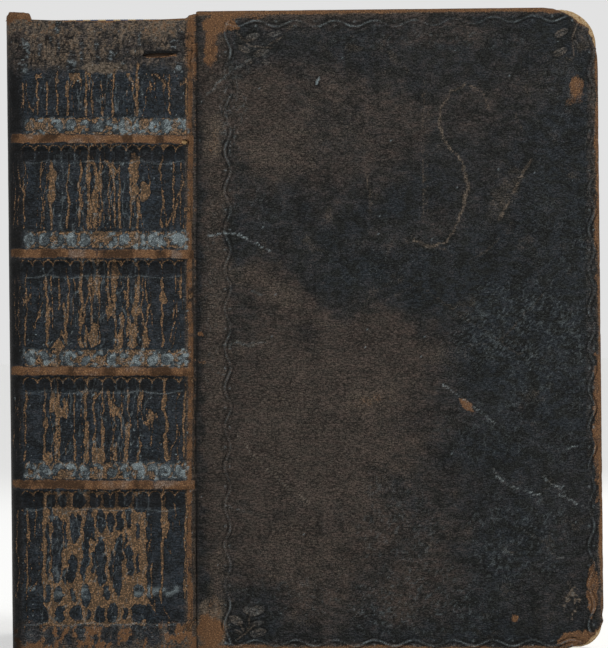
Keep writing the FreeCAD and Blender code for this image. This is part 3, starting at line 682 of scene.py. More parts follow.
# Where raised grain catches a bluish light: x, y, half width, half height, turn and strength.
GRAIN_GLINT_AREAS = (
    (420, 600, 110, 50, 0, 0.30), (400, 520, 60, 60, 0, 0.26), (520, 540, 80, 70, 0, 0.30),
    (540, 400, 60, 90, 0, 0.26), (530, 330, 90, 60, 20, 0.32), (560, 250, 50, 80, 0, 0.22),
    (290, 600, 60, 30, 0, 0.24), (400, 250, 120, 40, -10, 0.20), (232, 110, 18, 60, 0, 0.30),
    (210, 300, 10, 120, 0, 0.20), (565, 100, 34, 60, 0, 0.22), (420, 90, 60, 60, 0, 0.12),
    (480, 430, 60, 40, 0, 0.24), (255, 205, 50, 30, 0, 0.22), (440, 40, 140, 14, 0, 0.24),
)

# Scratches and cuts: points, width, how dusty, how pale and how deep.
SCRATCHES = (
    (((440, 128), (441, 108), (452, 90), (468, 84), (482, 92), (488, 108)), 2.0, 0.50, 0.0, 0.05),
    (((440, 118), (442, 138), (463, 163), (467, 187), (460, 220), (446, 242), (430, 247), (414, 241)),
     3.0, 0.62, 0.10, 0.08),
    (((424, 80), (423, 150), (424, 220)), 1.4, 0.42, 0.0, 0.05),
    (((429, 90), (427, 215)), 1.0, 0.26, 0.0, 0.03),
    (((530, 160), (514, 190), (500, 220)), 4.5, 0.50, 0.0, 0.05),
    (((366, 170), (369, 190), (372, 212)), 2.6, 0.42, 0.0, 0.04),
    (((208, 236), (225, 233), (238, 235), (270, 250)), 1.8, 0.30, 0.62, 0.08),
    (((225, 345), (238, 342), (250, 346), (268, 343)), 2.4, 0.40, 0.26, 0.12),
    (((322, 325), (350, 325)), 1.2, 0.40, 0.0, 0.05),
    (((235, 433), (262, 464), (290, 488), (311, 503)), 1.5, 0.62, 0.26, 0.08),
    (((226, 505), (240, 511), (252, 513)), 1.6, 0.35, 0.48, 0.08),
    (((262, 577), (300, 577)), 1.2, 0.42, 0.10, 0.04),
    (((425, 290), (470, 322), (520, 355)), 1.6, 0.30, 0.0, 0.06),
    (((440, 300), (500, 330), (556, 372)), 1.2, 0.24, 0.0, 0.05),
    (((545, 293), (500, 340)), 1.6, 0.34, 0.0, 0.05),
    (((443, 385), (462, 398), (482, 412), (495, 423)), 2.2, 0.30, 0.46, 0.16),
    (((497, 478), (512, 486), (540, 495)), 2.2, 0.34, 0.52, 0.10),
    (((492, 470), (505, 481)), 1.6, 0.30, 0.34, 0.08),
    (((543, 476), (556, 486), (566, 492)), 1.8, 0.30, 0.44, 0.08),
    (((560, 494), (572, 501), (586, 507)), 2.0, 0.30, 0.50, 0.10),
    (((520, 529), (546, 540)), 1.4, 0.30, 0.22, 0.06), (((552, 553), (566, 560)), 1.6, 0.30, 0.34, 0.06),
    (((500, 548), (514, 556)), 2.4, 0.30, 0.34, 0.08), (((564, 432), (586, 436)), 1.4, 0.20, 0.34, 0.06),
    (((566, 358), (588, 360)), 1.2, 0.20, 0.30, 0.05), (((572, 404), (592, 405)), 1.2, 0.20, 0.26, 0.05),
    (((218, 343), (240, 344), (266, 343)), 1.6, 0.30, 0.40, 0.08),
    (((562, 448), (577, 446)), 2.2, 0.20, 0.44, 0.06),
    (((470, 343), (487, 343)), 1.6, 0.30, 0.24, 0.06),
    (((568, 447), (577, 447)), 2.0, 0.20, 0.34, 0.06),
    (((505, 553), (516, 553)), 1.6, 0.30, 0.10, 0.05),
    (((543, 541), (560, 560)), 1.6, 0.34, 0.0, 0.06),
    (((207, 95), (218, 84), (231, 72), (250, 60)), 3.0, 0.30, 0.34, 0.12),
    (((246, 66), (262, 52), (276, 40), (292, 26)), 1.6, 0.45, 0.10, 0.06),
    (((262, 60), (276, 44), (290, 25)), 1.6, 0.30, 0.14, 0.08),
    (((240, 95), (239, 150), (240, 200)), 1.4, 0.34, 0.04, 0.06),
    (((246, 265), (284, 296), (330, 330)), 1.6, 0.32, 0.0, 0.03),
    (((317, 79), (318, 84)), 1.7, 0.0, 1.5, 0.0),
    (((218, 372), (228, 378)), 1.6, 0.2, 0.32, 0.05),
    (((500, 240), (470, 262)), 1.2, 0.30, 0.0, 0.04),
    (((384, 452), (402, 436), (418, 410)), 1.4, 0.30, 0.0, 0.04),
    (((530, 80), (520, 60), (514, 40)), 1.3, 0.26, 0.0, 0.04),
    (((513, 108), (523, 130)), 1.6, 0.34, 0.0, 0.04),
    (((262, 120), (271, 113), (279, 128)), 2.0, 0.30, 0.0, 0.04),
    (((410, 232), (424, 244), (446, 250)), 1.6, 0.40, 0.06, 0.05),
    (((466, 200), (482, 202)), 1.2, 0.10, 0.22, 0.03),
    (((250, 290), (262, 296)), 1.8, 0.10, 0.34, 0.04),
    (((340, 600), (380, 560)), 1.2, 0.26, 0.0, 0.04),
    (((300, 545), (360, 538)), 1.2, 0.24, 0.0, 0.03),
    (((384, 300), (420, 284)), 1.2, 0.24, 0.0, 0.03),
)


def cover_fields(px, py, seed):
    """Masks and relief that both covers share: mottled calf with a blind wave roll."""
    big = noise(px, py, 120, seed, 3)
    small = noise(px, py, 22, seed + 3, 3)
    tiny = noise(px, py, 8, seed + 4, 2)
    grain = noise(px, py, 3.4, seed + 5, 2)
    brown = 0.06 + 0.20 * ramp(big, 0.42, 0.72) + 0.30 * (small - 0.5)
    scuff = 0.30 * ramp(small, 0.55, 0.8) * ramp(tiny, 0.4, 0.7)
    line, dots = wave_roll(px, py)
    worn_line = 0.45 + 0.65 * noise(px, py, 30, seed + 7, 2)
    ridge = fade(line, 0.4, 1.4) * worn_line
    gutters = fade(np.abs(line - 2.3), 0.3, 1.4) * worn_line
    beads = fade(dots, 1.0, 2.2) * worn_line
    uneven = 0.35 + 1.1 * noise(px, py, 6, seed + 8, 2)
    # painted shade in the gutters beside the roll's raised line, and a painted highlight on its ridge,
    # stronger along the top and bottom runs
    dark = 0.66 * gutters * (0.5 + 0.8 * uneven)
    pale = (0.36 + 0.16 * ((py > 600) | (py < 60))) * ridge * uneven + 0.45 * beads
    relief = 0.08 * ridge - 0.17 * gutters - 0.12 * beads
    relief = relief + 0.06 * (grain - 0.5) + 0.16 * (noise(px, py, 60, seed + 9, 2) - 0.5)

    # edges rubbed to brown and tan
    below_head = py - 9 + 0.0115 * (px - 200)
    to_edge = np.minimum(np.minimum(below_head, 600 - px + 0.010 * py), 652 - py)
    rubbed = fade(to_edge + 6 * (small - 0.5), 3.0, 9) * (0.40 + 0.95 * noise(px, py, 14, seed + 11))
    tan = rubbed * 0.95
    head_rim = fade(below_head + 2 * (tiny - 0.5), 3.5, 8.5) * (0.55 + 0.6 * small)
    tan = np.maximum(tan, head_rim)
    scuff = np.maximum(scuff, 0.65 * fade(to_edge + 6 * (small - 0.5), 2, 12) * (0.4 + 0.8 * tiny))
    brown = brown + 0.35 * fade(to_edge, 2, 16)
    return {
        "tan": tan, "crack": np.zeros(px.shape), "brown": brown, "pale": pale,
        "dark": dark, "scuff": scuff, "relief": relief,
    }


def scratched(px, py, wx, wy, pale, dark, scuff, relief):
    """The scratches and cuts of the front board, laid over its masks and relief."""
    for k, (points, width, dust, paleness, depth) in enumerate(SCRATCHES):
        distance = line_distance(wx, wy, points) + 0.4 * wander(px + py, 6, 700 + k)
        broken = 0.55 + 0.45 * ramp(noise(px, py, 5, 740 + k, 2), 0.28, 0.60)
        body = fade(distance, width * 0.15, width * 0.45 + 0.8) * broken
        scuff = np.maximum(scuff, body * dust * 1.25)
        pale = np.maximum(pale, body * paleness * 1.1)
        shade = fade(np.abs(distance - width * 0.5 - 1.2), 0.2, 1.2)
        dark = np.maximum(dark, shade * max(dust, paleness) * 0.55)
        relief = relief - depth * body + 0.4 * depth * shade
    return pale, dark, scuff, relief


def with_sprigs(px, py, pale, dark, scuff, relief):
    """The leaf sprigs of the front board, laid over its masks and relief."""
    for x, y, long, wide, turn in SPRIG_LEAVES:
        c = math.cos(math.radians(turn))
        s = math.sin(math.radians(turn))
        dx = (px - x) * c + (py - y) * s
        dy = (py - y) * c - (px - x) * s
        radius = np.hypot(dx / long, dy / wide)
        outline = fade(np.abs(radius - 1.1) * wide, 0.3, 1.2)
        vein = fade(np.abs(dy), 0.2, 0.8) * (radius < 0.8)
        dark = np.maximum(dark, 0.60 * np.maximum(outline, 0.5 * vein))
        body = fade(radius, 0.80, 1.10) * (1 - 0.6 * vein)
        dark = dark * (1 - 0.8 * body)
        pale = np.maximum(pale, 0.22 * body * (0.4 + noise(px, py, 6, 791, 1)))
        scuff = np.maximum(scuff, 0.50 * body * (0.6 + 0.6 * noise(px, py, 5, 793, 2)))
        relief = relief - 0.16 * outline + 0.08 * (radius < 0.85)
    for stem in SPRIG_STEMS:
        distance = line_distance(px, py, stem)
        dark = np.maximum(dark, 0.6 * fade(np.abs(distance - 1.6), 0.3, 1.0))
        scuff = np.maximum(scuff, 0.6 * fade(distance, 0.5, 1.2))
        relief = relief - 0.10 * fade(np.abs(distance - 1.6), 0.3, 1.0)
    return pale, dark, scuff, relief


def front_wear(fields, px, py):
    """What the photograph shows on the front board alone."""
    tan, brown, pale = fields["tan"], fields["brown"], fields["pale"]
    dark, relief, scuff = fields["dark"], fields["relief"], fields["scuff"]
    wx, wy = warped(px, py, 16, 7, 831)
    for k, (x, y, wide, tall, turn, strength) in enumerate(BROWN_AREAS):
        brown = brown + strength * blot(wx, wy, x, y, wide, tall, turn, 0.30, 500 + k)
    brown = np.minimum(brown, 1.1) * (0.55 + 0.75 * noise(px, py, 12, 541, 3))
    brown = brown * (1 - 0.7 * ramp(px, 400, 500) * ramp(py, 130, 240) * fade(px, 596, 602))
    wx, wy = warped(px, py, 6, 2.6, 836)
    for k, (x, y, wide, tall, turn, strength) in enumerate(TAN_AREAS):
        speckle = 0.30 + 0.7 * noise(px, py, 5, 571 + k, 2) + 0.6 * noise(px, py, 14, 591 + k, 2)
        tan = np.maximum(tan, strength * speckle * blot(wx, wy, x, y, wide, tall, turn, 0.35, 600 + k))
    for k, (x, y, wide, tall, turn, strength) in enumerate(SCUFFED_AREAS):
        speckle = 0.25 + 1.4 * noise(px, py, 6, 641 + k, 3)
        scuff = np.maximum(scuff, strength * speckle * blot(wx, wy, x, y, wide, tall, turn, 0.35, 660 + k))
    pale, dark, scuff, relief = scratched(px, py, wx, wy, pale, dark, scuff, relief)
    pale, dark, scuff, relief = with_sprigs(px, py, pale, dark, scuff, relief)

    # creases of the stretched skin, at the right: painted shade in their folds and a painted highlight on
    # their crests
    slope = px * 0.46 - py * 0.89
    fold = (slope + 9 * (noise(px, py, 34, 801, 3) - 0.5)) / 7.5
    fold = np.abs(fold - np.round(fold)) * 7.5
    where = blot(wx, wy, 505, 335, 100, 80, 25, 0.3, 803)
    where = np.maximum(where, 0.7 * blot(wx, wy, 540, 200, 60, 80, 25, 0.3, 804))
    crease = fade(fold, 0.2, 1.6) * where * ramp(noise(px, py, 16, 805, 2), 0.35, 0.6)
    relief = relief - 0.16 * crease
    dark = np.maximum(dark, 0.62 * crease)
    crest = where * fade(np.abs(fold - 2.2), 0.2, 1.1) * ramp(noise(px, py, 9, 807, 2), 0.40, 0.62)
    pale = np.maximum(pale, 0.30 * crest)

    # bluish cracked patches by the head, painted highlights where raised grain catches the light, speckles
    # at the left and pale residue at the right
    net, owner = cell_walls(*warped(px, py, 9, 3, 841), 11, 7, 811)
    cracked = blot(wx, wy, 252, 56, 34, 20, -38, 0.3, 813)
    dark = np.maximum(dark, fade(net, 0.03, 0.16) * cracked * 0.7)
    pale = np.maximum(pale, 0.20 * cracked * (owner > 0.4) * (0.3 + noise(px, py, 4, 814, 2)))
    grit = noise(px, py, 2.6, 817, 2)
    pebble = ramp(noise(px * 1.3, py, 2.4, 851, 2), 0.46, 0.74)
    # painted bluish highlights on the raised grain
    grain_glint = 0
    for k, (x, y, wide, tall, turn, strength) in enumerate(GRAIN_GLINT_AREAS):
        grain_glint = np.maximum(grain_glint, strength * blot(wx, wy, x, y, wide, tall, turn, 0.35, 860 + k))
    pale = np.maximum(pale, grain_glint * pebble)
    residue = blot(wx, wy, 571, 600, 9, 18, 0, 0.5, 815)
    scuff = np.maximum(scuff, residue * ramp(grit, 0.40, 0.66) * 1.1)
    pale = np.maximum(pale, residue * ramp(grit, 0.58, 0.74) * 0.35)
    left_strip = fade(px + 2 * wander(py, 16, 843), 199, 207)
    dark = np.maximum(dark, left_strip * 0.30)
    ring = blot(wx, wy, 582, 36, 12, 26, 10, 0.3, 819)
    scuff = np.maximum(scuff, ring * 0.40 * (0.3 + grit))
    stubble = blot(wx, wy, 213, 70, 14, 34, 0, 0.3, 845) * (grit > 0.52)
    dark = np.maximum(dark, 0.45 * stubble)
    speck = (noise(px, py, 1.8, 821, 1) > 0.986) * 0.6
    pale = np.maximum(pale, speck)
    return {
        "tan": tan, "crack": fields["crack"], "brown": brown, "pale": pale,
        "dark": dark, "scuff": scuff, "relief": relief,
    }


def joint_fields(px, py):
    """The joint strip, where the spine's brown edge meets the board."""
    grit = noise(px, py, 5, 831, 3)
    top = fade(py, 50, 110)
    tan = 0.04 + 0.46 * ramp(grit, 0.52, 0.76) + 0.42 * top + 0.3 * ramp(py, 600, 640)
    # a dark line in the groove where the strip meets the board, painted shade
    dark = fade(np.abs(px - 197 - 1.2 * wander(py, 40, 833)), 0.6, 2.4) * 0.85
    brown = 0.55 + 0.3 * (grit - 0.5)
    return {
        "tan": tan, "crack": np.zeros(px.shape), "brown": brown, "pale": 0.12 * (grit > 0.72),
        "dark": dark, "scuff": 0.35 * grit + 0.2 * top, "relief": -0.12 * dark + 0.12 * (grit - 0.5),
    }


def mixed(first, second, share):
    """One set of masks turned into another by share."""
    return {key: first[key] * (1 - share) + second[key] * share for key in first}


# Meshes

def in_frame(points):
    """Book millimetres to metres in the CAD's frame."""
    return np.asarray(points, float) * MM + np.array([SPINE_X, JOINT_Y, 0.0])


def grid_faces(rows, columns, first=0, flip=False, keep=None):
    """Quads of a grid whose points run along its columns first."""
    index = first + np.arange(rows * columns).reshape(rows, columns)
    quads = np.stack([index[:-1, :-1], index[:-1, 1:], index[1:, 1:], index[1:, :-1]], -1)
    if flip:
        quads = quads[..., ::-1]
    if keep is not None:
        return quads[keep].tolist()
    return quads.reshape(-1, 4).tolist()


def strip_faces(upper, lower, flip=False):
    """Quads between two rows of point numbers."""
    faces = []
    for a, b, c, d in zip(upper, upper[1:], lower[1:], lower):
        faces.append((d, c, b, a) if flip else (a, b, c, d))
    return faces


def border_faces(rows, columns, flips):
    """Walls from the four borders of one grid to those of a second grid that follows it."""
    size = rows * columns
    index = np.arange(size).reshape(rows, columns)
    faces = []
    for border, flip in zip((index[0], index[-1], index[:, 0], index[:, -1]), flips):
        faces += strip_faces(list(border), list(border + size), flip)
    return faces


def tube_faces(rings, sides, flip=False):
    """Faces of a closed tube whose points run round each ring, with both ends."""
    faces = []
    for k in range(rings - 1):
        here = k * sides
        above = here + sides
        for j in range(sides):
            m = (j + 1) % sides
            if flip:
                faces.append((here + j, above + j, above + m, here + m))
            else:
                faces.append((here + j, here + m, above + m, above + j))
    ends = [tuple(range(sides)), tuple(range((rings - 1) * sides, rings * sides))]
    turned = 1 if flip else 0
    ends[turned] = ends[turned][::-1]
    return faces + ends


def beside(strip, board):
    """A cover's grid: the same strip in every row, then the board's own columns."""
    return np.concatenate([np.repeat(strip[None, :], len(board), 0), board], 1)


def scrap_masks(points_a, points_b, seed, tan, tan_gain, brown):
    """Masks for a small piece of worn leather without tooling."""
    grit = noise(points_a * 3, points_b * 3, 3, seed, 2)
    masks = {"tan": tan + tan_gain * grit, "scuff": 0.4 * grit, "brown": np.full(len(grit), brown)}
    for key in ("crack", "pale", "dark"):
        masks[key] = np.zeros(len(grit))
    return masks


def share_in(share):
    """Rises from both ends of a strip and stays at 1 between them."""
    return np.minimum(ramp(share, 0.0, 0.15), fade(share, 0.85, 1.0))


def make_mesh(name, points, faces, material, values=None, rest=None, smooth=True):
    """A mesh object from book millimetres, with a number per point for each mask."""
    mesh = bpy.data.meshes.new(name)
    mesh.from_pydata(in_frame(points).tolist(), [], [tuple(f) for f in faces])
    mesh.update()
    mesh.polygons.foreach_set("use_smooth", [smooth] * len(mesh.polygons))
    for key, column in (values or {}).items():
        layer = mesh.attributes.new(key, "FLOAT", "POINT")
        layer.data.foreach_set("value", np.asarray(column, np.float32).ravel())
    layer = mesh.attributes.new("rest", "FLOAT_VECTOR", "POINT")
    own = np.asarray(points if rest is None else rest, np.float32)
    layer.data.foreach_set("vector", own.ravel())
    mesh.materials.append(material)
    piece = bpy.data.objects.new(name, mesh)
    bpy.context.scene.collection.objects.link(piece)
    return piece


def arch(along, half=SPINE_HALF, shoulder=SHOULDER_R, crown=CROWN_R):
    """X, Y and outward normal at distances along the spine's arch from its middle."""
    centre_x = half - shoulder
    centre_y = math.sqrt((crown - shoulder) ** 2 - centre_x ** 2)
    spread = math.atan2(centre_x, centre_y)
    side = np.sign(along)
    far = np.abs(along)
    on_crown = far <= crown * spread
    angle = np.where(on_crown, far / crown, spread + (far - crown * spread) / shoulder)
    nx = np.sin(angle) * side
    ny = -np.cos(angle)
    x = np.where(on_crown, crown * nx, centre_x * side + shoulder * nx)
    y = np.where(on_crown, centre_y + crown * ny, shoulder * ny)
    return x, y, nx, ny


def arch_length(half=SPINE_HALF, shoulder=SHOULDER_R, crown=CROWN_R, end=math.pi / 2):
    """Distance along the arch from its middle to where the normal leans by end."""
    centre_x = half - shoulder
    centre_y = math.sqrt((crown - shoulder) ** 2 - centre_x ** 2)
    spread = math.atan2(centre_x, centre_y)
    return crown * spread + (end - spread) * shoulder


def head_edge(across):
    """Height of the worn head of the spine leather."""
    t = across / HEAD_REACH
    level = (HEAD_LEFT + HEAD_RIGHT) / 2 + t * (HEAD_RIGHT - HEAD_LEFT) / 2
    return level - HEAD_DIP * (1 - t * t)


def band_lift(x, y, up):
    """How far the leather rises over the cords, above the plain round of the spine."""
    path_x, path_y, _, _ = arch(
        np.linspace(-1, 1, 400) * arch_length(CORD_HALF, SHOULDER_R, CROWN_R - CORD_INSET),
        CORD_HALF, SHOULDER_R, CROWN_R - CORD_INSET,
    )
    depth = np.array([np.min(np.hypot(path_x - a, path_y - b)) for a, b in zip(x, y)])
    lift = np.zeros((len(up), len(x)))
    for height in BAND_HEIGHTS:
        away = np.abs(up - height)
        rise = np.sqrt(np.clip(BAND_R ** 2 - away ** 2, 0, None))[:, None] - depth[None, :]
        # the leather leaves the round of the cord in a soft fillet
        foot = 0.5 * np.exp(-np.clip(away - BAND_R, 0, None) / 0.8)[:, None]
        lift = np.maximum(lift, np.maximum(rise, foot * (depth[None, :] < 0.9) * 0.6))
    return np.clip(lift, 0, None)


# Points across and up the spine's skin, and how far round the shoulders it reaches.
SPINE_COLUMNS = 182
SPINE_ROWS = 500
SPINE_END = math.radians(80)


def make_spine_skin(material):
    """The calf over the spine: bands, cracked plates, tooling, slit and worn hole."""
    reach = arch_length(end=SPINE_END)
    along = np.linspace(-reach, reach, SPINE_COLUMNS)
    x, y, nx, ny = arch(along)
    up = np.linspace(0.0, HEIGHT, SPINE_ROWS)
    slit_row = int(np.searchsorted(up, SLIT_HEIGHT)) - 1
    lift = band_lift(x, y, up)
    top = head_edge(x)
    knee = HEIGHT - 12
    level = np.repeat(up[:, None], SPINE_COLUMNS, 1)
    stretch = (top[None, :] - knee) / (HEIGHT - knee)
    level = np.where(level > knee, knee + (level - knee) * stretch, level)

    # the slit opens between two rows of points
    inside = np.abs(x - SLIT_ACROSS) / SLIT_LONG
    gape = SLIT_WIDE * np.sqrt(np.clip(1 - inside ** 2, 0, 1)) * (1 + 0.25 * wander(x, 2.0, 3))
    torn = gape > 0.08
    middle = SLIT_HEIGHT + 0.25 * (x - SLIT_ACROSS) / SLIT_LONG
    level[slit_row, torn] = (middle - gape)[torn]
    level[slit_row + 1, torn] = (middle + gape)[torn]

    wide_x = np.repeat(x[None, :], SPINE_ROWS, 0)
    px, py = to_photo(wide_x.ravel(), level.ravel())
    fields = spine_fields(px, py)
    relief = fields["relief"].reshape(level.shape)
    end_dip = 0.34 * ramp(np.abs(along), reach - 0.9, reach)
    out = lift + relief * (1 - ramp(lift, 0.6, 1.4) * 0.5) - end_dip[None, :]
    points = np.stack(
        [x[None, :] + nx[None, :] * out, y[None, :] + ny[None, :] * out, level], -1
    ).reshape(-1, 3)

    keep = np.ones((SPINE_ROWS - 1, SPINE_COLUMNS - 1), bool)
    keep[slit_row, :] &= ~(torn[:-1] & torn[1:])
    hole = np.hypot(wide_x - HOLE_ACROSS, (level - HOLE_HEIGHT) * 1.2)
    hole = hole + 0.35 * (noise(px, py, 5, 851, 2).reshape(level.shape) * 2 - 1)
    keep &= hole[:-1, :-1] > HOLE_RADIUS
    faces = grid_faces(SPINE_ROWS, SPINE_COLUMNS, keep=keep)
    rest = np.stack([np.repeat(along[None, :], SPINE_ROWS, 0), -out, level], -1).reshape(-1, 3)
    blocks = [points]
    rests = [rest]
    masks = {key: [value] for key, value in fields.items() if key != "relief"}
    count = len(points)

    def add_row(row, depth, rise, tan):
        """One more row of points below the skin, along an edge of it."""
        nonlocal count
        ids = np.arange(row * SPINE_COLUMNS, (row + 1) * SPINE_COLUMNS)
        shift = np.stack([-nx * depth, -ny * depth, np.full(SPINE_COLUMNS, rise)], -1)
        blocks.append(points[ids] + shift)
        rests.append(rest[ids] + np.array([0, depth, rise]))
        for key in masks:
            masks[key].append(np.full(SPINE_COLUMNS, tan) if key == "tan" else fields[key][ids])
        first = count
        count += SPINE_COLUMNS
        return list(range(first, first + SPINE_COLUMNS))

    last = SPINE_ROWS - 1
    edge = list(range(last * SPINE_COLUMNS, (last + 1) * SPINE_COLUMNS))
    for depth, rise in ((0.3, 0.12), (LEATHER, 0.0), (LEATHER, -2.5)):
        row = add_row(last, depth, rise, 1.0)
        faces += strip_faces(edge, row)
        edge = row
    edge = list(range(SPINE_COLUMNS))
    for depth in (0.3, LEATHER):
        row = add_row(0, depth, 0.0, 1.0)
        faces += strip_faces(edge, row, flip=True)
        edge = row
    for row_number, flip in ((slit_row, False), (slit_row + 1, True)):
        row = add_row(row_number, LEATHER, 0.0, 0.9)
        edge = list(range(row_number * SPINE_COLUMNS, (row_number + 1) * SPINE_COLUMNS))
        for run in range(SPINE_COLUMNS - 1):
            if torn[run] and torn[run + 1]:
                faces += strip_faces(edge[run:run + 2], row[run:run + 2], flip)
    points = np.concatenate(blocks)
    values = {key: np.concatenate(value) for key, value in masks.items()}
    return make_mesh("spine_skin", points, faces, material, values, np.concatenate(rests))


# The curl at the head of the left shoulder: from and to, across the spine, and its rise.
CURL_FROM, CURL_TO, CURL_RISE = -31.2, -21.5, 4.3


def make_head_curl(material):
    """A torn remnant of the turned-in leather that curls up at the head of the left shoulder."""
    across = np.linspace(CURL_FROM, CURL_TO, 60)
    share = (across - CURL_FROM) / (CURL_TO - CURL_FROM)
    _, y, _, _ = arch(np.interp(share, (0, 1), (-arch_length(end=SPINE_END), CURL_TO)))
    tall = CURL_RISE * np.sqrt(np.clip(1 - (1.7 * share - 0.75) ** 2 / 1.05, 0.02, 1))
    tall = tall * (0.85 + 0.25 * wander(across, 2.2, 7))
    base_z = head_edge(across) - 0.7
    layers = []
    rows = 14
    for thick in (0.0, LEATHER * 0.8):
        for turn in np.linspace(0, 1, rows):
            bend = turn * math.pi * 0.9
            reach = 0.95 - thick
            lean_in = 0.3 + thick + reach * (1 - math.cos(bend))
            rise = (tall - 0.95) * min(1, turn * 2) + (reach * math.sin(bend) if turn > 0 else 0)
            bumpy = 0.12 * wander(across * 2, 2.5, 11)
            deep = y + lean_in - 0.35 + bumpy
            layers.append(np.stack([across, deep, base_z + rise * share_in(share)], -1))
    outer = np.array(layers[:rows])
    inner = np.array(layers[rows:])
    points = np.concatenate([outer.reshape(-1, 3), inner.reshape(-1, 3)])
    columns = len(across)
    faces = grid_faces(rows, columns) + grid_faces(rows, columns, first=rows * columns, flip=True)
    faces += border_faces(rows, columns, (True, False, False, True))
    masks = scrap_masks(points[:, 0], points[:, 2], 221, 0.55, 0.5, 0.6)
    return make_mesh("head_curl", points, faces, material, masks)


def fine_near(low, high, near_low, near_high, fine, coarse):
    """Numbers from low to high, close together up to near_low and from near_high."""
    first = np.linspace(low, near_low, max(2, int((near_low - low) / fine)), endpoint=False)
    mid = np.linspace(near_low, near_high, max(2, int((near_high - near_low) / coarse)), endpoint=False)
    last = np.linspace(near_high, high, max(2, int((high - near_high) / fine)) + 1)
    return np.concatenate([first, mid, last])


# The rim of a cover, how much of its turn-in shows, and the section of its joint strip:
# angles round the shoulder with depths below it, then points up to the board.
RIM = 0.5
TURN_IN_SHOWN = 8.0
STRIP_ANGLES = (48, 54, 60, 66, 72, 78)
STRIP_DEPTHS = (0.30, 0.30, 0.26, 0.18, 0.08, 0.02)
STRIP_FRONT = ((30.66, -0.62), (30.86, -0.28), (31.16, -0.10), (31.6, -0.02), (32.1, 0.0))
STRIP_BACK = ((30.63, -0.55), (30.68, -0.1), (30.76, 0.35), (30.87, 0.85), (30.94, 1.3))
STRIP_REACH = 1.6

# Rings of points round a cover, over its rim and its turn-in: how far out, deep and tan.
RIM_RINGS = (
    (0.34, 0.14, 0.55), (0.5, 0.55, 0.7), (0.5, TURN_IN_DEPTH - 0.5, 0.45),
    (0.36, TURN_IN_DEPTH - 0.12, 0.5), (0.0, TURN_IN_DEPTH, 0.3), (-3.0, TURN_IN_DEPTH, 0.15),
    (-TURN_IN_SHOWN, TURN_IN_DEPTH - 0.05, 0.1),
)


def round_corners(a, b, width, height, tail_radius, head_radius):
    """Moves points of a rectangle so that its two far corners are round."""
    a = a.copy()
    b = b.copy()
    for radius, at_head in ((tail_radius, False), (head_radius, True)):
        centre_a = width - radius
        centre_b = height - radius if at_head else radius
        da = (a - centre_a) / radius
        db = (b - centre_b) / radius if at_head else (centre_b - b) / radius
        inside = (da > 0) & (db > 0)
        new_a = centre_a + radius * da * np.sqrt(np.clip(1 - db * db / 2, 0, 1))
        new_b = radius * db * np.sqrt(np.clip(1 - da * da / 2, 0, 1))
        new_b = centre_b + new_b if at_head else centre_b - new_b
        a = np.where(inside, new_a, a)
        b = np.where(inside, new_b, b)
    return a, b


def strip_outline(front):
    """X and Y across the joint strip, from under the spine's skin to the board."""
    strip = []
    for angle, depth in zip(STRIP_ANGLES, STRIP_DEPTHS):
        lean = math.radians(angle)
        radius = SHOULDER_R - depth
        strip.append((SPINE_HALF - SHOULDER_R + radius * math.sin(lean), -radius * math.cos(lean)))
    strip += STRIP_FRONT if front else STRIP_BACK
    return np.array([p[0] for p in strip]), np.array([p[1] for p in strip])


def cover_masks(front, across, up):
    """Masks and relief of one cover, led over into those of its joint and of the spine."""
    px, py = to_photo(across, up)
    if front:
        fields = front_wear(cover_fields(px, py, 900), px, py)
        fields = mixed(joint_fields(px, py), fields, ramp(px + 2 * wander(py, 30, 5), 195.5, 200))
        return mixed(spine_fields(px, py), fields, ramp(px, 192.5, 195))
    fields = mixed(joint_fields(px, py), cover_fields(px, py, 1700), ramp(px, 196, 201))
    fields["tan"] = fields["tan"] * 0.7
    return mixed(spine_fields(*to_photo(-across, up)), fields, ramp(px, 190, 196))


def cover_normals(front, strip_x, strip_y, flat_count):
    """Outward normal of each column of the joint strip, then of the flat cover."""
    path_x = np.concatenate([strip_x, [HINGE + STRIP_REACH if front else HINGE]])
    path_y = np.concatenate([strip_y, [0.0 if front else STRIP_REACH]])
    run_x = np.gradient(path_x)[:-1]
    run_y = np.gradient(path_y)[:-1]
    size = np.hypot(run_x, run_y)
    normal_x = np.concatenate([run_y / size, np.full(flat_count, 0.0 if front else 1.0)])
    normal_y = np.concatenate([-run_x / size, np.full(flat_count, -1.0 if front else 0.0)])
    return normal_x, normal_y


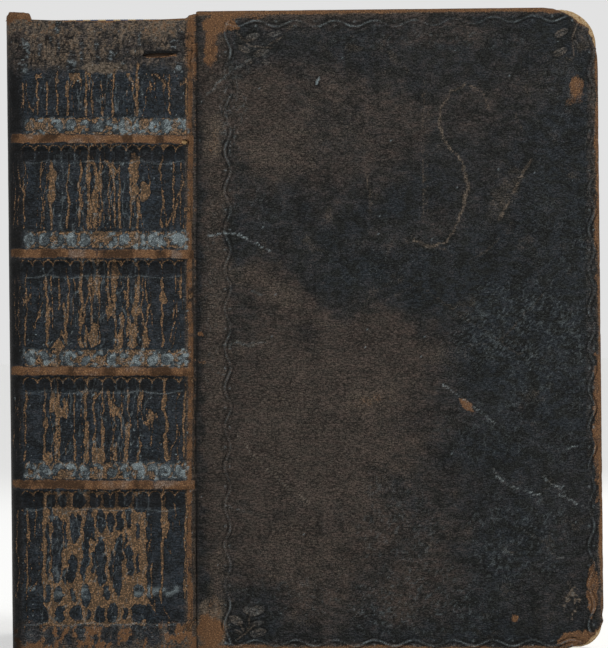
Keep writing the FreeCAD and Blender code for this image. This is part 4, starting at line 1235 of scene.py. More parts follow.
def make_cover_skin(side, tail_radius, head_radius, fine, coarse, material):
    """The calf over one board, from under the spine's skin to its turn-ins."""
    front = side == "front"
    columns = fine_near(STRIP_REACH, REACH - RIM, 15, REACH - 11, fine, coarse)
    rows = fine_near(RIM, HEIGHT - RIM, 14, HEIGHT - 16, fine, coarse)
    a, b = np.meshgrid(columns, rows)
    a, b = round_corners(a, b - RIM, REACH - RIM, HEIGHT - 2 * RIM, tail_radius - RIM, head_radius - RIM)
    b = b + RIM
    strip_x, strip_y = strip_outline(front)
    count = len(strip_x)
    total = count + len(columns)

    # the strip's head is lower, to meet the worn head of the spine
    share = np.linspace(0, 1, count + 8)[:count]
    top = np.interp(share, (0, 1), (head_edge(SPINE_HALF * (1 if front else -1)), HEIGHT)) - RIM
    strip_z = RIM + (rows[:, None] - RIM) * (top[None, :] - RIM) / (HEIGHT - 2 * RIM)
    late = np.interp(np.arange(len(columns)), (0, 6), (share[-1], 1))
    top_late = head_edge(SPINE_HALF) * (1 - late) + HEIGHT * late - RIM
    b = RIM + (b - RIM) * (top_late[None, :] - RIM) / (HEIGHT - 2 * RIM)

    x = beside(strip_x, HINGE + a if front else np.full_like(a, HINGE))
    y = beside(strip_y, np.zeros_like(a) if front else a)
    z = np.concatenate([strip_z, b], 1)

    # where a point lies on the flattened leather, for its pattern
    flat_strip = np.interp(np.arange(count), (0, count - 1), (28.6, HINGE + STRIP_REACH - 0.4))
    flat = beside(flat_strip, HINGE + a)
    seen = beside(strip_x, HINGE + a) if front else flat
    fields = cover_masks(front, seen.ravel(), z.ravel())
    relief = fields["relief"].reshape(x.shape).copy()
    relief[:, :6] = 0
    relief = relief * np.minimum(1, 0.35 + ramp(np.arange(total), count - 2, count + 4))[None, :]

    normal_x, normal_y = cover_normals(front, strip_x, strip_y, len(columns))
    x = x + relief * normal_x[None, :]
    y = y + relief * normal_y[None, :]
    points = np.stack([x, y, z], -1).reshape(-1, 3)
    rest = np.stack([flat, -relief, z], -1).reshape(-1, 3)
    n_rows = len(rows)
    faces = grid_faces(n_rows, total)

    # rim, wall and turn-in follow the tail, the fore-edge and the head
    index = np.arange(n_rows * total).reshape(n_rows, total)
    border = np.concatenate([index[0, :], index[1:, -1], index[-1, -2::-1]])
    flat_a = beside(flat_strip - HINGE, a).ravel()[border]
    flat_b = z.ravel()[border]
    side_x = np.gradient(flat_a)
    side_y = np.gradient(flat_b)
    size = np.hypot(side_x, side_y) + 1e-9
    out_a = side_y / size
    out_b = -side_x / size
    corner = np.hypot(out_a, out_b - np.sign(out_b)) * np.hypot(out_a - 1, out_b)
    rough = noise(flat_a, flat_b, 3.2, 861, 3)
    wear = 0.16 * (rough * 2 - 1) + 2.2 * np.clip(corner, 0, 1) * ramp(rough, 0.42, 0.80)
    deep = ramp(flat_a, 1.2, 2.6)
    ring_masks = {key: [value] for key, value in fields.items() if key != "relief"}
    blocks = [points]
    rests = [rest]
    edge = list(border)
    first = len(points)
    column = border % total
    base = points[border]
    relief_here = relief.ravel()[border]
    for outward, depth, tan in RIM_RINGS:
        depth_here = depth * deep + min(depth, LEATHER) * (1 - deep)
        lifted = depth_here + relief_here * min(1.0, depth)
        slide_a = outward * out_a + (wear * out_a if outward > 0.3 else 0)
        slide_b = outward * out_b + (wear * out_b * 0.5 if outward > 0.3 else 0)
        slide_a = slide_a * deep
        ring = base.copy()
        ring[:, 2] = np.clip(ring[:, 2] + slide_b, 0.0, HEIGHT)
        along_x = 1.0 if front else 0.0
        ring[:, 0] += slide_a * along_x - normal_x[column] * lifted
        ring[:, 1] += slide_a * (1 - along_x) - normal_y[column] * lifted
        if front:
            ring[:, 0] = np.minimum(ring[:, 0], HINGE + REACH)
        else:
            ring[:, 1] = np.minimum(ring[:, 1], REACH)
        blocks.append(ring)
        rests.append(np.stack([flat_a + slide_a + HINGE, depth_here, flat_b + slide_b], -1))
        grit = noise(flat_a * 3, flat_b * 3, 14, 871, 3)
        for key in ring_masks:
            if key == "tan":
                ring_masks[key].append(tan * (0.5 + grit))
            elif key == "brown":
                ring_masks[key].append(0.5 + 0.5 * grit)
            else:
                ring_masks[key].append(fields[key][border] * (0.5 if depth < 1 else 0))
        row = list(range(first, first + len(border)))
        first += len(border)
        faces += strip_faces(edge, row, flip=True)
        edge = row
    points = np.concatenate(blocks)
    rest = np.concatenate(rests)
    values = {key: np.concatenate(value) for key, value in ring_masks.items()}
    if not front:
        points = points * np.array([-1, 1, 1])
        faces = [face[::-1] for face in faces]
    return make_mesh(f"{side}_cover_skin", points, faces, material, values, rest)


# The caps at the heads of the joints: length along the board and depth down from its top.
CAP_LONG, CAP_DEEP = 6.5, 3.0


def make_joint_cap(side, material):
    """Leather tucked over the head of a board where it meets the worn spine."""
    start = board_low.x - HINGE - 0.12
    share = np.linspace(0, 1, 22)
    sides = 28
    angle = np.linspace(0, 2 * math.pi, sides, endpoint=False)
    middle = (LEATHER + TURN_IN_DEPTH) / 2 - 0.1
    half = (TURN_IN_DEPTH - LEATHER) / 2 + 0.05
    rings = []
    for k, s in enumerate(share):
        swell = (0.35 + 0.65 * ramp(s, 0.0, 0.18)) * (1 - 0.25 * ramp(s, 0.8, 1.0))
        ragged = 0.10 * wander(angle * 3 + k * 0.6, 1.5, 17)
        square = 1 / np.maximum(np.abs(np.cos(angle)), np.abs(np.sin(angle))) ** 0.75
        deep = middle + (half * square * swell + ragged) * np.cos(angle)
        rise = (CAP_DEEP / 2 + 0.42) * np.sin(angle) * square * (0.9 + 0.1 * swell)
        top = board_high.z - CAP_DEEP / 2 + rise
        top = np.minimum(top + 0.5 * ragged, HEIGHT - 0.12)
        rings.append(np.stack([np.full(sides, start + CAP_LONG * s), deep, top], -1))
    rings = np.array(rings)
    along = rings[..., 0]
    if side == "front":
        points = np.stack([HINGE + along, rings[..., 1], rings[..., 2]], -1).reshape(-1, 3)
    else:
        points = np.stack([-HINGE + rings[..., 1], along, rings[..., 2]], -1).reshape(-1, 3)
    faces = tube_faces(len(share), sides, flip=True)
    if side == "back":
        faces = [face[::-1] for face in faces]
    masks = scrap_masks(points[:, 0] + points[:, 1], points[:, 2], 223, 0.30, 0.6, 0.7)
    return make_mesh(f"{side}_joint_cap", points, faces, material, masks)


def rounded_outline(low_a, high_a, low_b, high_b, tail_radius, head_radius, step=0.6):
    """Points round a board's face, with its two far corners round."""
    points = [(low_a, high_b), (low_a, low_b)]
    for radius, centre_b, start in (
        (tail_radius, low_b + tail_radius, -90), (head_radius, high_b - head_radius, 0),
    ):
        steps = max(6, int(radius * math.pi / 2 / step))
        for k in range(steps + 1):
            angle = math.radians(start + 90 * k / steps)
            points.append((high_a - radius + radius * math.cos(angle), centre_b + radius * math.sin(angle)))
    return np.array(points)


def make_board_slab(material, tail_radius, head_radius):
    """The front pasteboard: stacked sheets, frayed where the corners are bare."""
    outline = rounded_outline(
        board_low.x - HINGE, board_high.x - HINGE, board_low.z, board_high.z, tail_radius, head_radius
    )
    sheets = 9
    blocks = []
    faces = []
    tone = []
    centre = outline.mean(0)
    n = len(outline)
    depths = []
    face = LEATHER + 0.04
    stack = board_high.y - LEATHER - 0.04
    for k in range(sheets):
        depths += [face + stack * k / sheets + 0.03, face + stack * (k + 1) / sheets - 0.03]
    for k, depth in enumerate(depths):
        sheet = k // 2
        away = outline - centre
        away = away / np.linalg.norm(away, axis=1)[:, None]
        bare = (outline[:, 0] > board_high.x - HINGE - 30) * 1.0
        fray = 0.45 * noise(outline[:, 0] * 3, outline[:, 1] * 3, 5, 880 + sheet, 3) * bare
        fray = fray + (0.25 if k == 0 else 0.0) * bare
        ring = outline - away * fray[:, None]
        blocks.append(np.stack([HINGE + ring[:, 0], np.full(n, depth), ring[:, 1]], -1))
        tone.append(np.full(n, lattice(np.array([sheet]), np.array([3]), 9)[0]))
        if k:
            upper = [(k - 1) * n + i for i in range(n)] + [(k - 1) * n]
            lower = [k * n + i for i in range(n)] + [k * n]
            faces += strip_faces(upper, lower, flip=True)
    faces.append(tuple(range(n)))
    faces.append(tuple(reversed(range(n * (len(depths) - 1), n * len(depths)))))
    return make_mesh(
        "front_pasteboard", np.concatenate(blocks), faces, material,
        {"tone": np.concatenate(tone)}, smooth=False,
    )


def make_leaves(material):
    """The leaves as thin gatherings that fan out over the backed shoulders."""
    gatherings = 84
    steps_flat = 9
    inner_half = SPINE_HALF - LINING_INSET
    inner_shoulder = SHOULDER_R - LINING_INSET
    inner_crown = CROWN_R - LINING_INSET
    reach = arch_length(inner_half, inner_shoulder, inner_crown)
    half = BLOCK_HALF
    centre_deep = block_high.y + math.sqrt(FORE_EDGE_R ** 2 - half ** 2)
    blocks = []
    faces = []
    tone = []
    first = 0
    thick = 2 * half / gatherings
    for k in range(gatherings):
        t = (k + 0.5) / gatherings * 2 - 1
        seeds = [lattice(np.array([k]), np.array([j]), 77)[0] for j in range(6)]
        fold = arch(np.array([t * reach * 0.985]), inner_half, inner_shoulder, inner_crown)
        fold_x, fold_y, lean_x, lean_y = [value[0] for value in fold]
        x_flat = half * t
        start = np.array([fold_x - lean_x * 0.05, fold_y - lean_y * 0.05])
        gutter = 1.0 + 5.0 * (1 - abs(t))
        end = centre_deep - math.sqrt(FORE_EDGE_R ** 2 - x_flat ** 2) - 0.5 * seeds[0]
        path = []
        for s in np.linspace(0, 1, 6):
            pull = s * s * (3 - 2 * s)
            path.append((start[0] + (x_flat - start[0]) * pull, start[1] + (gutter - start[1]) * s))
        for s in np.linspace(0, 1, steps_flat + 1)[1:]:
            sway = 0.10 * math.sin(3.1 * s + 6 * seeds[1]) * s
            path.append((x_flat + sway, gutter + (end - gutter) * s))
        path = np.array(path)
        along = np.gradient(path, axis=0)
        along = along / np.linalg.norm(along, axis=1)[:, None]
        across = np.stack([along[:, 1], -along[:, 0]], -1)
        n = len(path)
        spread = np.full(n, thick * 0.48)
        spread[:4] = thick * 0.5
        limit = np.where(path[:, 1] > 0.9, half, inner_half)
        low_z = block_low.z + 0.30 * seeds[2]
        high_z = block_high.z - 0.30 * seeds[3]
        for sign in (-1, 1):
            edge = path + across * spread[:, None] * sign
            edge[:, 0] = np.clip(edge[:, 0], -limit, limit)
            for level in (low_z, high_z):
                blocks.append(np.column_stack([edge, np.full(n, level)]))
                tone.append(np.full(n, seeds[4]))
        lb, lt, rb, rt = [list(range(first + j * n, first + (j + 1) * n)) for j in range(4)]
        faces += strip_faces(lb, lt)
        faces += strip_faces(rt, rb)
        faces += strip_faces(lt, rt)
        faces += strip_faces(rb, lb)
        faces.append((lb[0], rb[0], rt[0], lt[0]))
        faces.append((lb[-1], lt[-1], rt[-1], rb[-1]))
        first += 4 * n
    return make_mesh(
        "leaves", np.concatenate(blocks), faces, material, {"tone": np.concatenate(tone)}, smooth=False
    )


def sheet_mesh(name, path, low_z, high_z, thick, rows, material):
    """A paper sheet of some thickness along a path of (x, y) points, standing upright."""
    path = np.array(path, float)
    along = np.gradient(path, axis=0)
    along = along / np.linalg.norm(along, axis=1)[:, None]
    across = np.stack([along[:, 1], -along[:, 0]], -1)
    length = np.concatenate([[0], np.cumsum(np.hypot(*np.diff(path, axis=0).T))])
    levels = np.linspace(low_z, high_z, rows)
    grid_s, grid_z = np.meshgrid(length, levels)
    run_x, _ = np.meshgrid(path[:, 0], levels)
    run_y, _ = np.meshgrid(path[:, 1], levels)
    base = np.stack([run_x, run_y, grid_z], -1)
    back = base + np.stack([across[:, 0] * thick, across[:, 1] * thick, np.zeros(len(path))], -1)[None]
    n_rows, n_columns = grid_s.shape
    size = n_rows * n_columns
    faces = grid_faces(n_rows, n_columns, flip=True) + grid_faces(n_rows, n_columns, first=size)
    faces += border_faces(n_rows, n_columns, (False, True, True, False))
    points = np.concatenate([base.reshape(-1, 3), back.reshape(-1, 3)])
    flat = np.stack([grid_s, np.zeros_like(grid_s), grid_z], -1).reshape(-1, 3)
    return make_mesh(
        name, points, faces, material, {"across": np.tile(grid_s.ravel(), 2)},
        np.concatenate([flat, flat + np.array([0, thick, 0])]),
    )


def curve_frame(x, y, z):
    """Unit vectors across and up for a level line of points."""
    path = np.stack([x, y, z], -1)
    along = np.gradient(path, axis=0)
    along = along / np.linalg.norm(along, axis=1)[:, None]
    up = np.array([0.0, 0.0, 1.0])
    across = np.cross(along, up)
    across = across / np.linalg.norm(across, axis=1)[:, None]
    return path, across, np.cross(across, along)


def tube(path, across, rise, radii, sides, turn):
    """Points and faces of a closed tube along path, whose radius varies round and along it."""
    n = len(path)
    angle = np.linspace(0, 2 * math.pi, sides, endpoint=False)
    twist = angle[None, :] + turn[:, None]
    radius = radii(np.arange(n)[:, None] / n, twist)
    points = (
        path[:, None, :]
        + across[:, None, :] * (radius * np.cos(angle)[None, :])[..., None]
        + rise[:, None, :] * (radius * np.sin(angle)[None, :])[..., None]
    ).reshape(-1, 3)
    return points, tube_faces(n, sides), twist


CORD_SIDES = 18
CORD_LAY = 5.2


def make_cord(number, material):
    """One sewing cord: three strands laid into a rope over the folds of the leaves."""
    reach = arch_length(CORD_HALF, SHOULDER_R, CROWN_R - CORD_INSET) * 0.995
    along = np.linspace(-reach, reach, 260)
    x, y, _, _ = arch(along, CORD_HALF, SHOULDER_R, CROWN_R - CORD_INSET)
    path, across, rise = curve_frame(x, y, np.full(len(x), BAND_HEIGHTS[number - 1]))
    turn = along * 2 * math.pi / CORD_LAY

    def radii(_, twist):
        return CORD_R * (0.80 + 0.17 * np.abs(np.cos(1.5 * twist)))

    points, faces, twist = tube(path, across, rise, radii, CORD_SIDES, turn)
    # how near each point lies to the crest of its strand, from which the finish paints shade in the grooves
    fibre = np.abs(np.cos(1.5 * twist)).ravel()
    around = np.tile(np.arange(CORD_SIDES) * 0.4, len(along))
    rest = np.stack([np.repeat(along, CORD_SIDES), around, twist.ravel()], -1)
    return make_mesh(f"cord_rope_{number}", points, faces, material, {"tone": fibre}, rest)


BAND_SIDES = 12
THREAD_PITCH = 0.62
STRIPE_WIDTH = 2.48


def make_endband(name, low, high, material):
    """An endband: thread wound over a core in two colours along the round of the spine."""
    radius = (high.z - low.z) / 2
    inset = LINING_INSET + radius - 0.7
    half = SPINE_HALF - inset
    reach = arch_length(half, SHOULDER_R - inset, CROWN_R - inset) * 0.995
    along = np.linspace(-reach, reach, 420)
    x, y, _, _ = arch(along, half, SHOULDER_R - inset, CROWN_R - inset)
    path, across, rise = curve_frame(x, y, np.full(len(x), (low.z + high.z) / 2))

    def radii(_, twist):
        wound = 0.93 + 0.06 * np.cos(2 * math.pi * (along[:, None] / THREAD_PITCH + 0.1 * np.sin(twist)))
        return radius * wound

    points, faces, twist = tube(path, across, rise, radii, BAND_SIDES, np.zeros(len(along)))
    stripe = (np.floor(np.repeat(along, BAND_SIDES) / STRIPE_WIDTH) % 2).ravel()
    return make_mesh(name, points, faces, material, {"tone": stripe})


# Materials

def paint(red, green, blue):
    """A colour as it is seen, 0 to 255 a channel, as the linear value a shader takes."""
    def linear(c):
        c = c / 255
        return c / 12.92 if c <= 0.04045 else ((c + 0.055) / 1.055) ** 2.4
    return (linear(red), linear(green), linear(blue), 1)


class Shader:
    """A node material that is built up step by step."""

    def __init__(self, name, roughness, specular=0.3):
        self.material = bpy.data.materials.new(name)
        self.material.use_nodes = True
        self.nodes = self.material.node_tree.nodes
        self.links = self.material.node_tree.links
        self.surface = self.nodes["Principled BSDF"]
        self.surface.inputs["Roughness"].default_value = roughness
        self.surface.inputs["Specular IOR Level"].default_value = specular
        where = self.nodes.new("ShaderNodeAttribute")
        where.attribute_name = "rest"
        self.where = where.outputs["Vector"]

    def mask(self, name):
        node = self.nodes.new("ShaderNodeAttribute")
        node.attribute_name = name
        return node.outputs["Fac"]

    def noise(self, scale, detail=3.0, stretch=None):
        node = self.nodes.new("ShaderNodeTexNoise")
        node.inputs["Scale"].default_value = scale
        node.inputs["Detail"].default_value = detail
        self.links.new(self.stretched(stretch), node.inputs["Vector"])
        return node.outputs["Fac"]

    def cells(self, scale, feature="F1", stretch=None, warp=0.0):
        node = self.nodes.new("ShaderNodeTexVoronoi")
        node.feature = feature
        node.inputs["Scale"].default_value = scale
        place = self.stretched(stretch)
        if warp:
            cloud = self.nodes.new("ShaderNodeTexNoise")
            cloud.inputs["Scale"].default_value = scale * 0.6
            self.links.new(self.where, cloud.inputs["Vector"])
            move = self.nodes.new("ShaderNodeVectorMath")
            move.operation = "MULTIPLY_ADD"
            self.links.new(cloud.outputs["Color"], move.inputs[0])
            move.inputs[1].default_value = (warp, warp, warp)
            self.links.new(place, move.inputs[2])
            place = move.outputs["Vector"]
        self.links.new(place, node.inputs["Vector"])
        return node.outputs["Distance"]

    def stretched(self, stretch):
        if stretch is None:
            return self.where
        node = self.nodes.new("ShaderNodeVectorMath")
        node.operation = "MULTIPLY"
        self.links.new(self.where, node.inputs[0])
        node.inputs[1].default_value = stretch
        return node.outputs["Vector"]

    def sum(self, first, second, gain=1.0, shift=0.0):
        """first + second * gain + shift"""
        node = self.nodes.new("ShaderNodeMath")
        node.operation = "MULTIPLY_ADD"
        self.links.new(second, node.inputs[0])
        node.inputs[1].default_value = gain
        self.links.new(first, node.inputs[2])
        if not shift:
            return node.outputs[0]
        more = self.nodes.new("ShaderNodeMath")
        more.operation = "ADD"
        self.links.new(node.outputs[0], more.inputs[0])
        more.inputs[1].default_value = shift
        return more.outputs[0]

    def step(self, value, low, high, out_low=0.0, out_high=1.0):
        node = self.nodes.new("ShaderNodeMapRange")
        node.interpolation_type = "SMOOTHSTEP"
        self.links.new(value, node.inputs["Value"])
        node.inputs["From Min"].default_value = low
        node.inputs["From Max"].default_value = high
        node.inputs["To Min"].default_value = out_low
        node.inputs["To Max"].default_value = out_high
        return node.outputs["Result"]

    def mix(self, share, first, second):
        """Colours or sockets mixed by a mask."""
        node = self.nodes.new("ShaderNodeMix")
        node.data_type = "RGBA"
        self.links.new(share, node.inputs["Factor"])
        for value, socket in ((first, node.inputs[6]), (second, node.inputs[7])):
            if isinstance(value, tuple):
                socket.default_value = value
            else:
                self.links.new(value, socket)
        return node.outputs[2]

    def shade(self, colour, amount):
        """The colour made darker or lighter by a factor."""
        node = self.nodes.new("ShaderNodeVectorMath")
        node.operation = "SCALE"
        self.links.new(colour, node.inputs[0])
        self.links.new(amount, node.inputs["Scale"])
        return node.outputs["Vector"]

    def bump(self, height, strength, distance_mm):
        node = self.nodes.new("ShaderNodeBump")
        node.inputs["Strength"].default_value = strength
        node.inputs["Distance"].default_value = distance_mm * MM
        self.links.new(height, node.inputs["Height"])
        self.links.new(node.outputs["Normal"], self.surface.inputs["Normal"])

    def finish(self, colour, rough=None):
        self.links.new(colour, self.surface.inputs["Base Color"])
        if rough is not None:
            self.links.new(rough, self.surface.inputs["Roughness"])
        return self.material


BLACK_CALF = paint(29, 31, 30)
BLUE_SHEEN_CALF = paint(31, 36, 40)
SPINE_CALF = paint(28, 32, 35)
SLATE_SHEEN_CALF = paint(33, 41, 48)
BROWN_CALF = paint(55, 50, 45)
RUSSET_CALF = paint(61, 53, 48)
DUSTY_CALF = paint(90, 80, 69)
ORANGE_SKIN = paint(120, 87, 61)
PALE_SKIN = paint(146, 112, 80)
DARK_SKIN = paint(70, 52, 38)
CRACK_SKIN = paint(89, 73, 55)
CRACK_PALE = paint(144, 112, 82)
CRACK_DEEP = paint(58, 47, 37)
GREY_SHEEN = paint(84, 93, 96)
WHITE_SHEEN = paint(168, 180, 182)
SHADE_AND_MARK_BLACK = paint(10, 10, 10)
BOARD_BROWN = paint(160, 130, 92)
BOARD_PALE = paint(205, 184, 148)
BOARD_FIBRE = paint(120, 90, 60)
BOARD_SOIL = paint(140, 112, 78)
LEAF_CREAM = paint(206, 190, 156)
LEAF_TAN = paint(186, 164, 124)
LEAF_LINE = paint(150, 124, 88)
LEAF_DUST = paint(140, 116, 84)
FOXING = paint(140, 98, 58)
PAPER_MARGIN = paint(150, 118, 80)
HEMP_DARK = paint(150, 116, 78)
HEMP_PALE = paint(186, 156, 112)
HEMP_GROOVE_SHADE = paint(88, 64, 42)
THREAD_UNDYED = paint(178, 158, 122)
THREAD_BLUE = paint(66, 80, 104)
THREAD_DIRT = paint(110, 92, 68)
ENDPAPER = paint(206, 192, 160)
ENDPAPER_STAIN = paint(186, 164, 126)
GLUE_BROWN = paint(52, 40, 30)
GLUE_BLACK = paint(20, 16, 12)
SLIP_PALE = paint(180, 150, 108)
SLIP_BROWN = paint(120, 92, 62)
PLAIN_BOARD = paint(190, 165, 125)
PLAIN_BOARD_BROWN = paint(150, 122, 86)
FLOOR_PAINT = paint(224, 224, 222)


def leather_material(name, plate, plate_cool_sheen):
    """Old calf: dark plates, brown rubbed areas, cracks down to tan skin."""
    s = Shader(name, 0.6, 0.12)
    fine = s.noise(2.2, 4.0)
    coarse = s.noise(0.22, 6.0)
    grit = s.noise(5.5, 2.0)
    fibre = s.noise(1.5, 3.0, (0.55, 1.0, 1.5))
    streak = s.noise(0.55, 6.0, (0.4, 1.0, 1.0))
    wrinkle = s.cells(0.72, "DISTANCE_TO_EDGE", (0.75, 1.0, 1.35), 2.6)
    patchy = s.noise(0.11, 3.0)
    # the plates mix dark calf with a bluish cast that is partly the leather's own colour and partly painted
    # sheen
    plates = s.mix(s.step(s.sum(streak, coarse, 1.0, -0.5), 0.36, 0.64), plate, plate_cool_sheen)
    warm = s.mix(s.step(streak, 0.40, 0.62), BROWN_CALF, RUSSET_CALF)
    brown_level = s.sum(s.sum(s.mask("brown"), fine, 0.7, -0.35), coarse, 0.5, -0.25)
    brown_level = s.sum(brown_level, streak, 0.9, -0.45)
    colour = s.mix(s.step(brown_level, 0.0, 0.95), plates, warm)
    dust_level = s.sum(s.sum(s.mask("scuff"), grit, 0.8, -0.4), fine, 0.7, -0.35)
    colour = s.mix(s.step(dust_level, 0.08, 0.95), colour, DUSTY_CALF)
    speckle = s.step(s.sum(s.sum(fibre, fine, 0.8, -0.4), streak, 0.16, -0.08), 0.31, 0.71, 0.42, 1.72)
    colour = s.shade(colour, speckle)
    # painted shade along the wrinkles of the grain
    wrinkle_shade = s.sum(wrinkle, patchy, 0.5, -0.22)
    colour = s.shade(colour, s.step(wrinkle_shade, 0.0, 0.16, 0.55, 1.08))
    skin = s.mix(s.step(grit, 0.36, 0.64), DARK_SKIN, ORANGE_SKIN)
    skin = s.mix(s.step(fine, 0.50, 0.72), skin, PALE_SKIN)
    tan_level = s.sum(s.sum(s.mask("tan"), fine, 0.6, -0.3), grit, 0.5, -0.25)
    colour = s.mix(s.step(tan_level, 0.30, 0.72), colour, skin)
    crack_skin = s.mix(s.step(grit, 0.38, 0.62), CRACK_DEEP, CRACK_SKIN)
    crack_skin = s.mix(s.step(fine, 0.46, 0.66), crack_skin, CRACK_PALE)
    crack_level = s.sum(s.sum(s.mask("crack"), fine, 0.34, -0.17), grit, 0.34, -0.17)
    # painted shade: a dark rim on the walls of each crack, then the bare skin inside it
    colour = s.mix(s.step(crack_level, 0.28, 0.46, 0.0, 0.65), colour, SHADE_AND_MARK_BLACK)
    colour = s.mix(s.step(crack_level, 0.47, 0.57), colour, crack_skin)
    # the pale mask: pale tooling, scratches and residue, with painted highlights on ovals, plates, ridges,
    # crests and raised grain
    sheen = s.mix(s.step(grit, 0.45, 0.68), GREY_SHEEN, WHITE_SHEEN)
    pale_level = s.sum(s.sum(s.mask("pale"), fine, 0.4, -0.2), grit, 0.5, -0.25)
    colour = s.mix(s.step(pale_level, 0.10, 0.90), colour, sheen)
    # the dark mask: seams, crack nets, stains and tooled outlines, with painted shade in grooves, creases,
    # beside scratches and on the spine's left shoulder
    dark_level = s.sum(s.mask("dark"), grit, 0.4, -0.2)
    colour = s.mix(s.step(dark_level, 0.15, 0.95), colour, SHADE_AND_MARK_BLACK)
    pebble = s.step(wrinkle, 0.0, 0.25)
    height = s.sum(s.sum(s.sum(pebble, fine, 0.8), grit, 0.5), fibre, 0.7)
    s.bump(height, 0.6, 0.12)
    return s.finish(colour, s.step(tan_level, 0.3, 0.7, 0.50, 0.86))


def pasteboard_material():
    """Layers of coarse pressed paper, soiled at the outside."""
    s = Shader("pasteboard", 0.95, 0.15)
    fine = s.noise(2.6, 4.0)
    fibre = s.noise(0.9, 5.0, (1.0, 6.0, 1.0))
    colour = s.mix(s.step(fine, 0.35, 0.66), BOARD_BROWN, BOARD_PALE)
    colour = s.mix(s.step(fibre, 0.52, 0.72), colour, BOARD_FIBRE)
    colour = s.mix(s.step(s.mask("tone"), 0.2, 0.9, 0.0, 0.35), colour, BOARD_SOIL)
    s.bump(s.sum(fine, fibre, 1.0), 0.6, 0.2)
    return s.finish(colour)


def leaves_material():
    """The edges of old leaves: cream, browned, with a tone to each gathering."""
    s = Shader("leaf_edges", 0.9, 0.2)
    dust = s.noise(0.05, 4.0)
    line = s.noise(3.0, 3.0, (4.0, 0.3, 0.05))
    colour = s.mix(s.step(s.mask("tone"), 0.0, 1.0), LEAF_CREAM, LEAF_TAN)
    colour = s.mix(s.step(line, 0.5, 0.75), colour, LEAF_LINE)
    colour = s.mix(s.step(dust, 0.5, 0.75), colour, LEAF_DUST)
    s.bump(line, 0.4, 0.1)
    return s.finish(colour)


def paper_material(name, tone, stain):
    """Laid endpaper with chain lines, foxing and a browned margin."""
    s = Shader(name, 0.92, 0.2)
    cloud = s.noise(0.03, 5.0)
    fibre = s.noise(1.6, 4.0)
    spots = s.cells(0.055)
    lines = s.noise(1.0, 1.0, (0.0, 0.0, 1.2))
    colour = s.mix(s.step(cloud, 0.4, 0.7), tone, stain)
    colour = s.mix(s.step(fibre, 0.45, 0.75, 0.0, 0.5), colour, stain)
    colour = s.mix(s.step(spots, 0.035, 0.075, 0.7, 0.0), colour, FOXING)
    edge = s.step(s.mask("across"), 0.0, 12.0, 0.75, 0.0)
    colour = s.mix(edge, colour, PAPER_MARGIN)
    s.bump(s.sum(lines, fibre, 0.6), 0.3, 0.06)
    return s.finish(colour)


def cord_material():
    """Hemp cord, yellowed and dusty, with painted shade between its strands."""
    s = Shader("hemp", 0.95, 0.15)
    fibre = s.noise(2.2, 4.0, (0.6, 1.0, 2.0))
    colour = s.mix(s.step(fibre, 0.35, 0.7), HEMP_DARK, HEMP_PALE)
    # painted shade in the grooves between the strands
    colour = s.mix(s.step(s.mask("tone"), 0.0, 0.35, 0.6, 0.0), colour, HEMP_GROOVE_SHADE)
    s.bump(fibre, 0.6, 0.12)
    return s.finish(colour)


def thread_material():
    """Endband thread, faded blue and undyed."""
    s = Shader("endband_thread", 0.85, 0.2)
    fibre = s.noise(3.0, 3.0)
    colour = s.mix(s.step(s.mask("tone"), 0.3, 0.7), THREAD_UNDYED, THREAD_BLUE)
    colour = s.mix(s.step(fibre, 0.45, 0.75, 0.0, 0.6), colour, THREAD_DIRT)
    s.bump(fibre, 0.4, 0.06)
    return s.finish(colour)


def plain_node_material(name, light, deep):
    """A grained finish for CAD nodes that lie inside the book."""
    s = Shader(name, 0.9, 0.2)
    place = s.nodes.new("ShaderNodeTexCoord")
    grow = s.nodes.new("ShaderNodeVectorMath")
    grow.operation = "SCALE"
    grow.inputs["Scale"].default_value = 1 / MM
    s.links.new(place.outputs["Object"], grow.inputs[0])
    s.where = grow.outputs["Vector"]
    cloud = s.noise(0.12, 4.0)
    fibre = s.noise(1.4, 4.0, (1.0, 1.0, 3.0))
    colour = s.mix(s.step(cloud, 0.35, 0.65), light, deep)
    colour = s.mix(s.step(fibre, 0.5, 0.75, 0.0, 0.5), colour, deep)
    s.bump(fibre, 0.3, 0.08)
    return s.finish(colour)


def dress_node(name, material):
    """Gives a CAD node's own mesh a better finish."""
    node = frame["nodes"][name]
    for slot in node.material_slots:
        slot.link = "OBJECT"
        slot.material = material


# Pieces

def stand_in(piece, body, node):
    """Fixes a piece to a body in place of a CAD node."""
    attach(piece, body)
    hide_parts(node)


calf = leather_material("calf", BLACK_CALF, BLUE_SHEEN_CALF)
spine_calf = leather_material("spine_calf", SPINE_CALF, SLATE_SHEEN_CALF)
stand_in(make_spine_skin(spine_calf), "book_block", "spine_leather")

# Radii of the far corners of the leather and of the front board, at the tail and the head.
CORNER_LEATHER = {"front": (15.0, 19.0), "back": (6.5, 6.5)}
FRONT_BOARD_CORNERS = (8.0, 12.0)

# Distance between the points of each cover, near its edges and in its middle.
COVER_GRID = {"front": (0.34, 0.66), "back": (0.8, 1.05)}


# Each cover turns about its joint; its leather is built here with its joint strip, in place of the CAD's
# leather.
for side in ("front", "back"):
    skin = make_cover_skin(side, *CORNER_LEATHER[side], *COVER_GRID[side], calf)
    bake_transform(skin)
    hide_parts(f"{side}_leather")

for side in ("front", "back"):
    cap = make_joint_cap(side, calf)
    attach(cap, f"{side}_cover")

pasteboard = make_board_slab(pasteboard_material(), *FRONT_BOARD_CORNERS)
stand_in(pasteboard, "front_cover", "front_board")

curl = make_head_curl(spine_calf)
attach(curl, "book_block")

stand_in(make_leaves(leaves_material()), "book_block", "text_block")

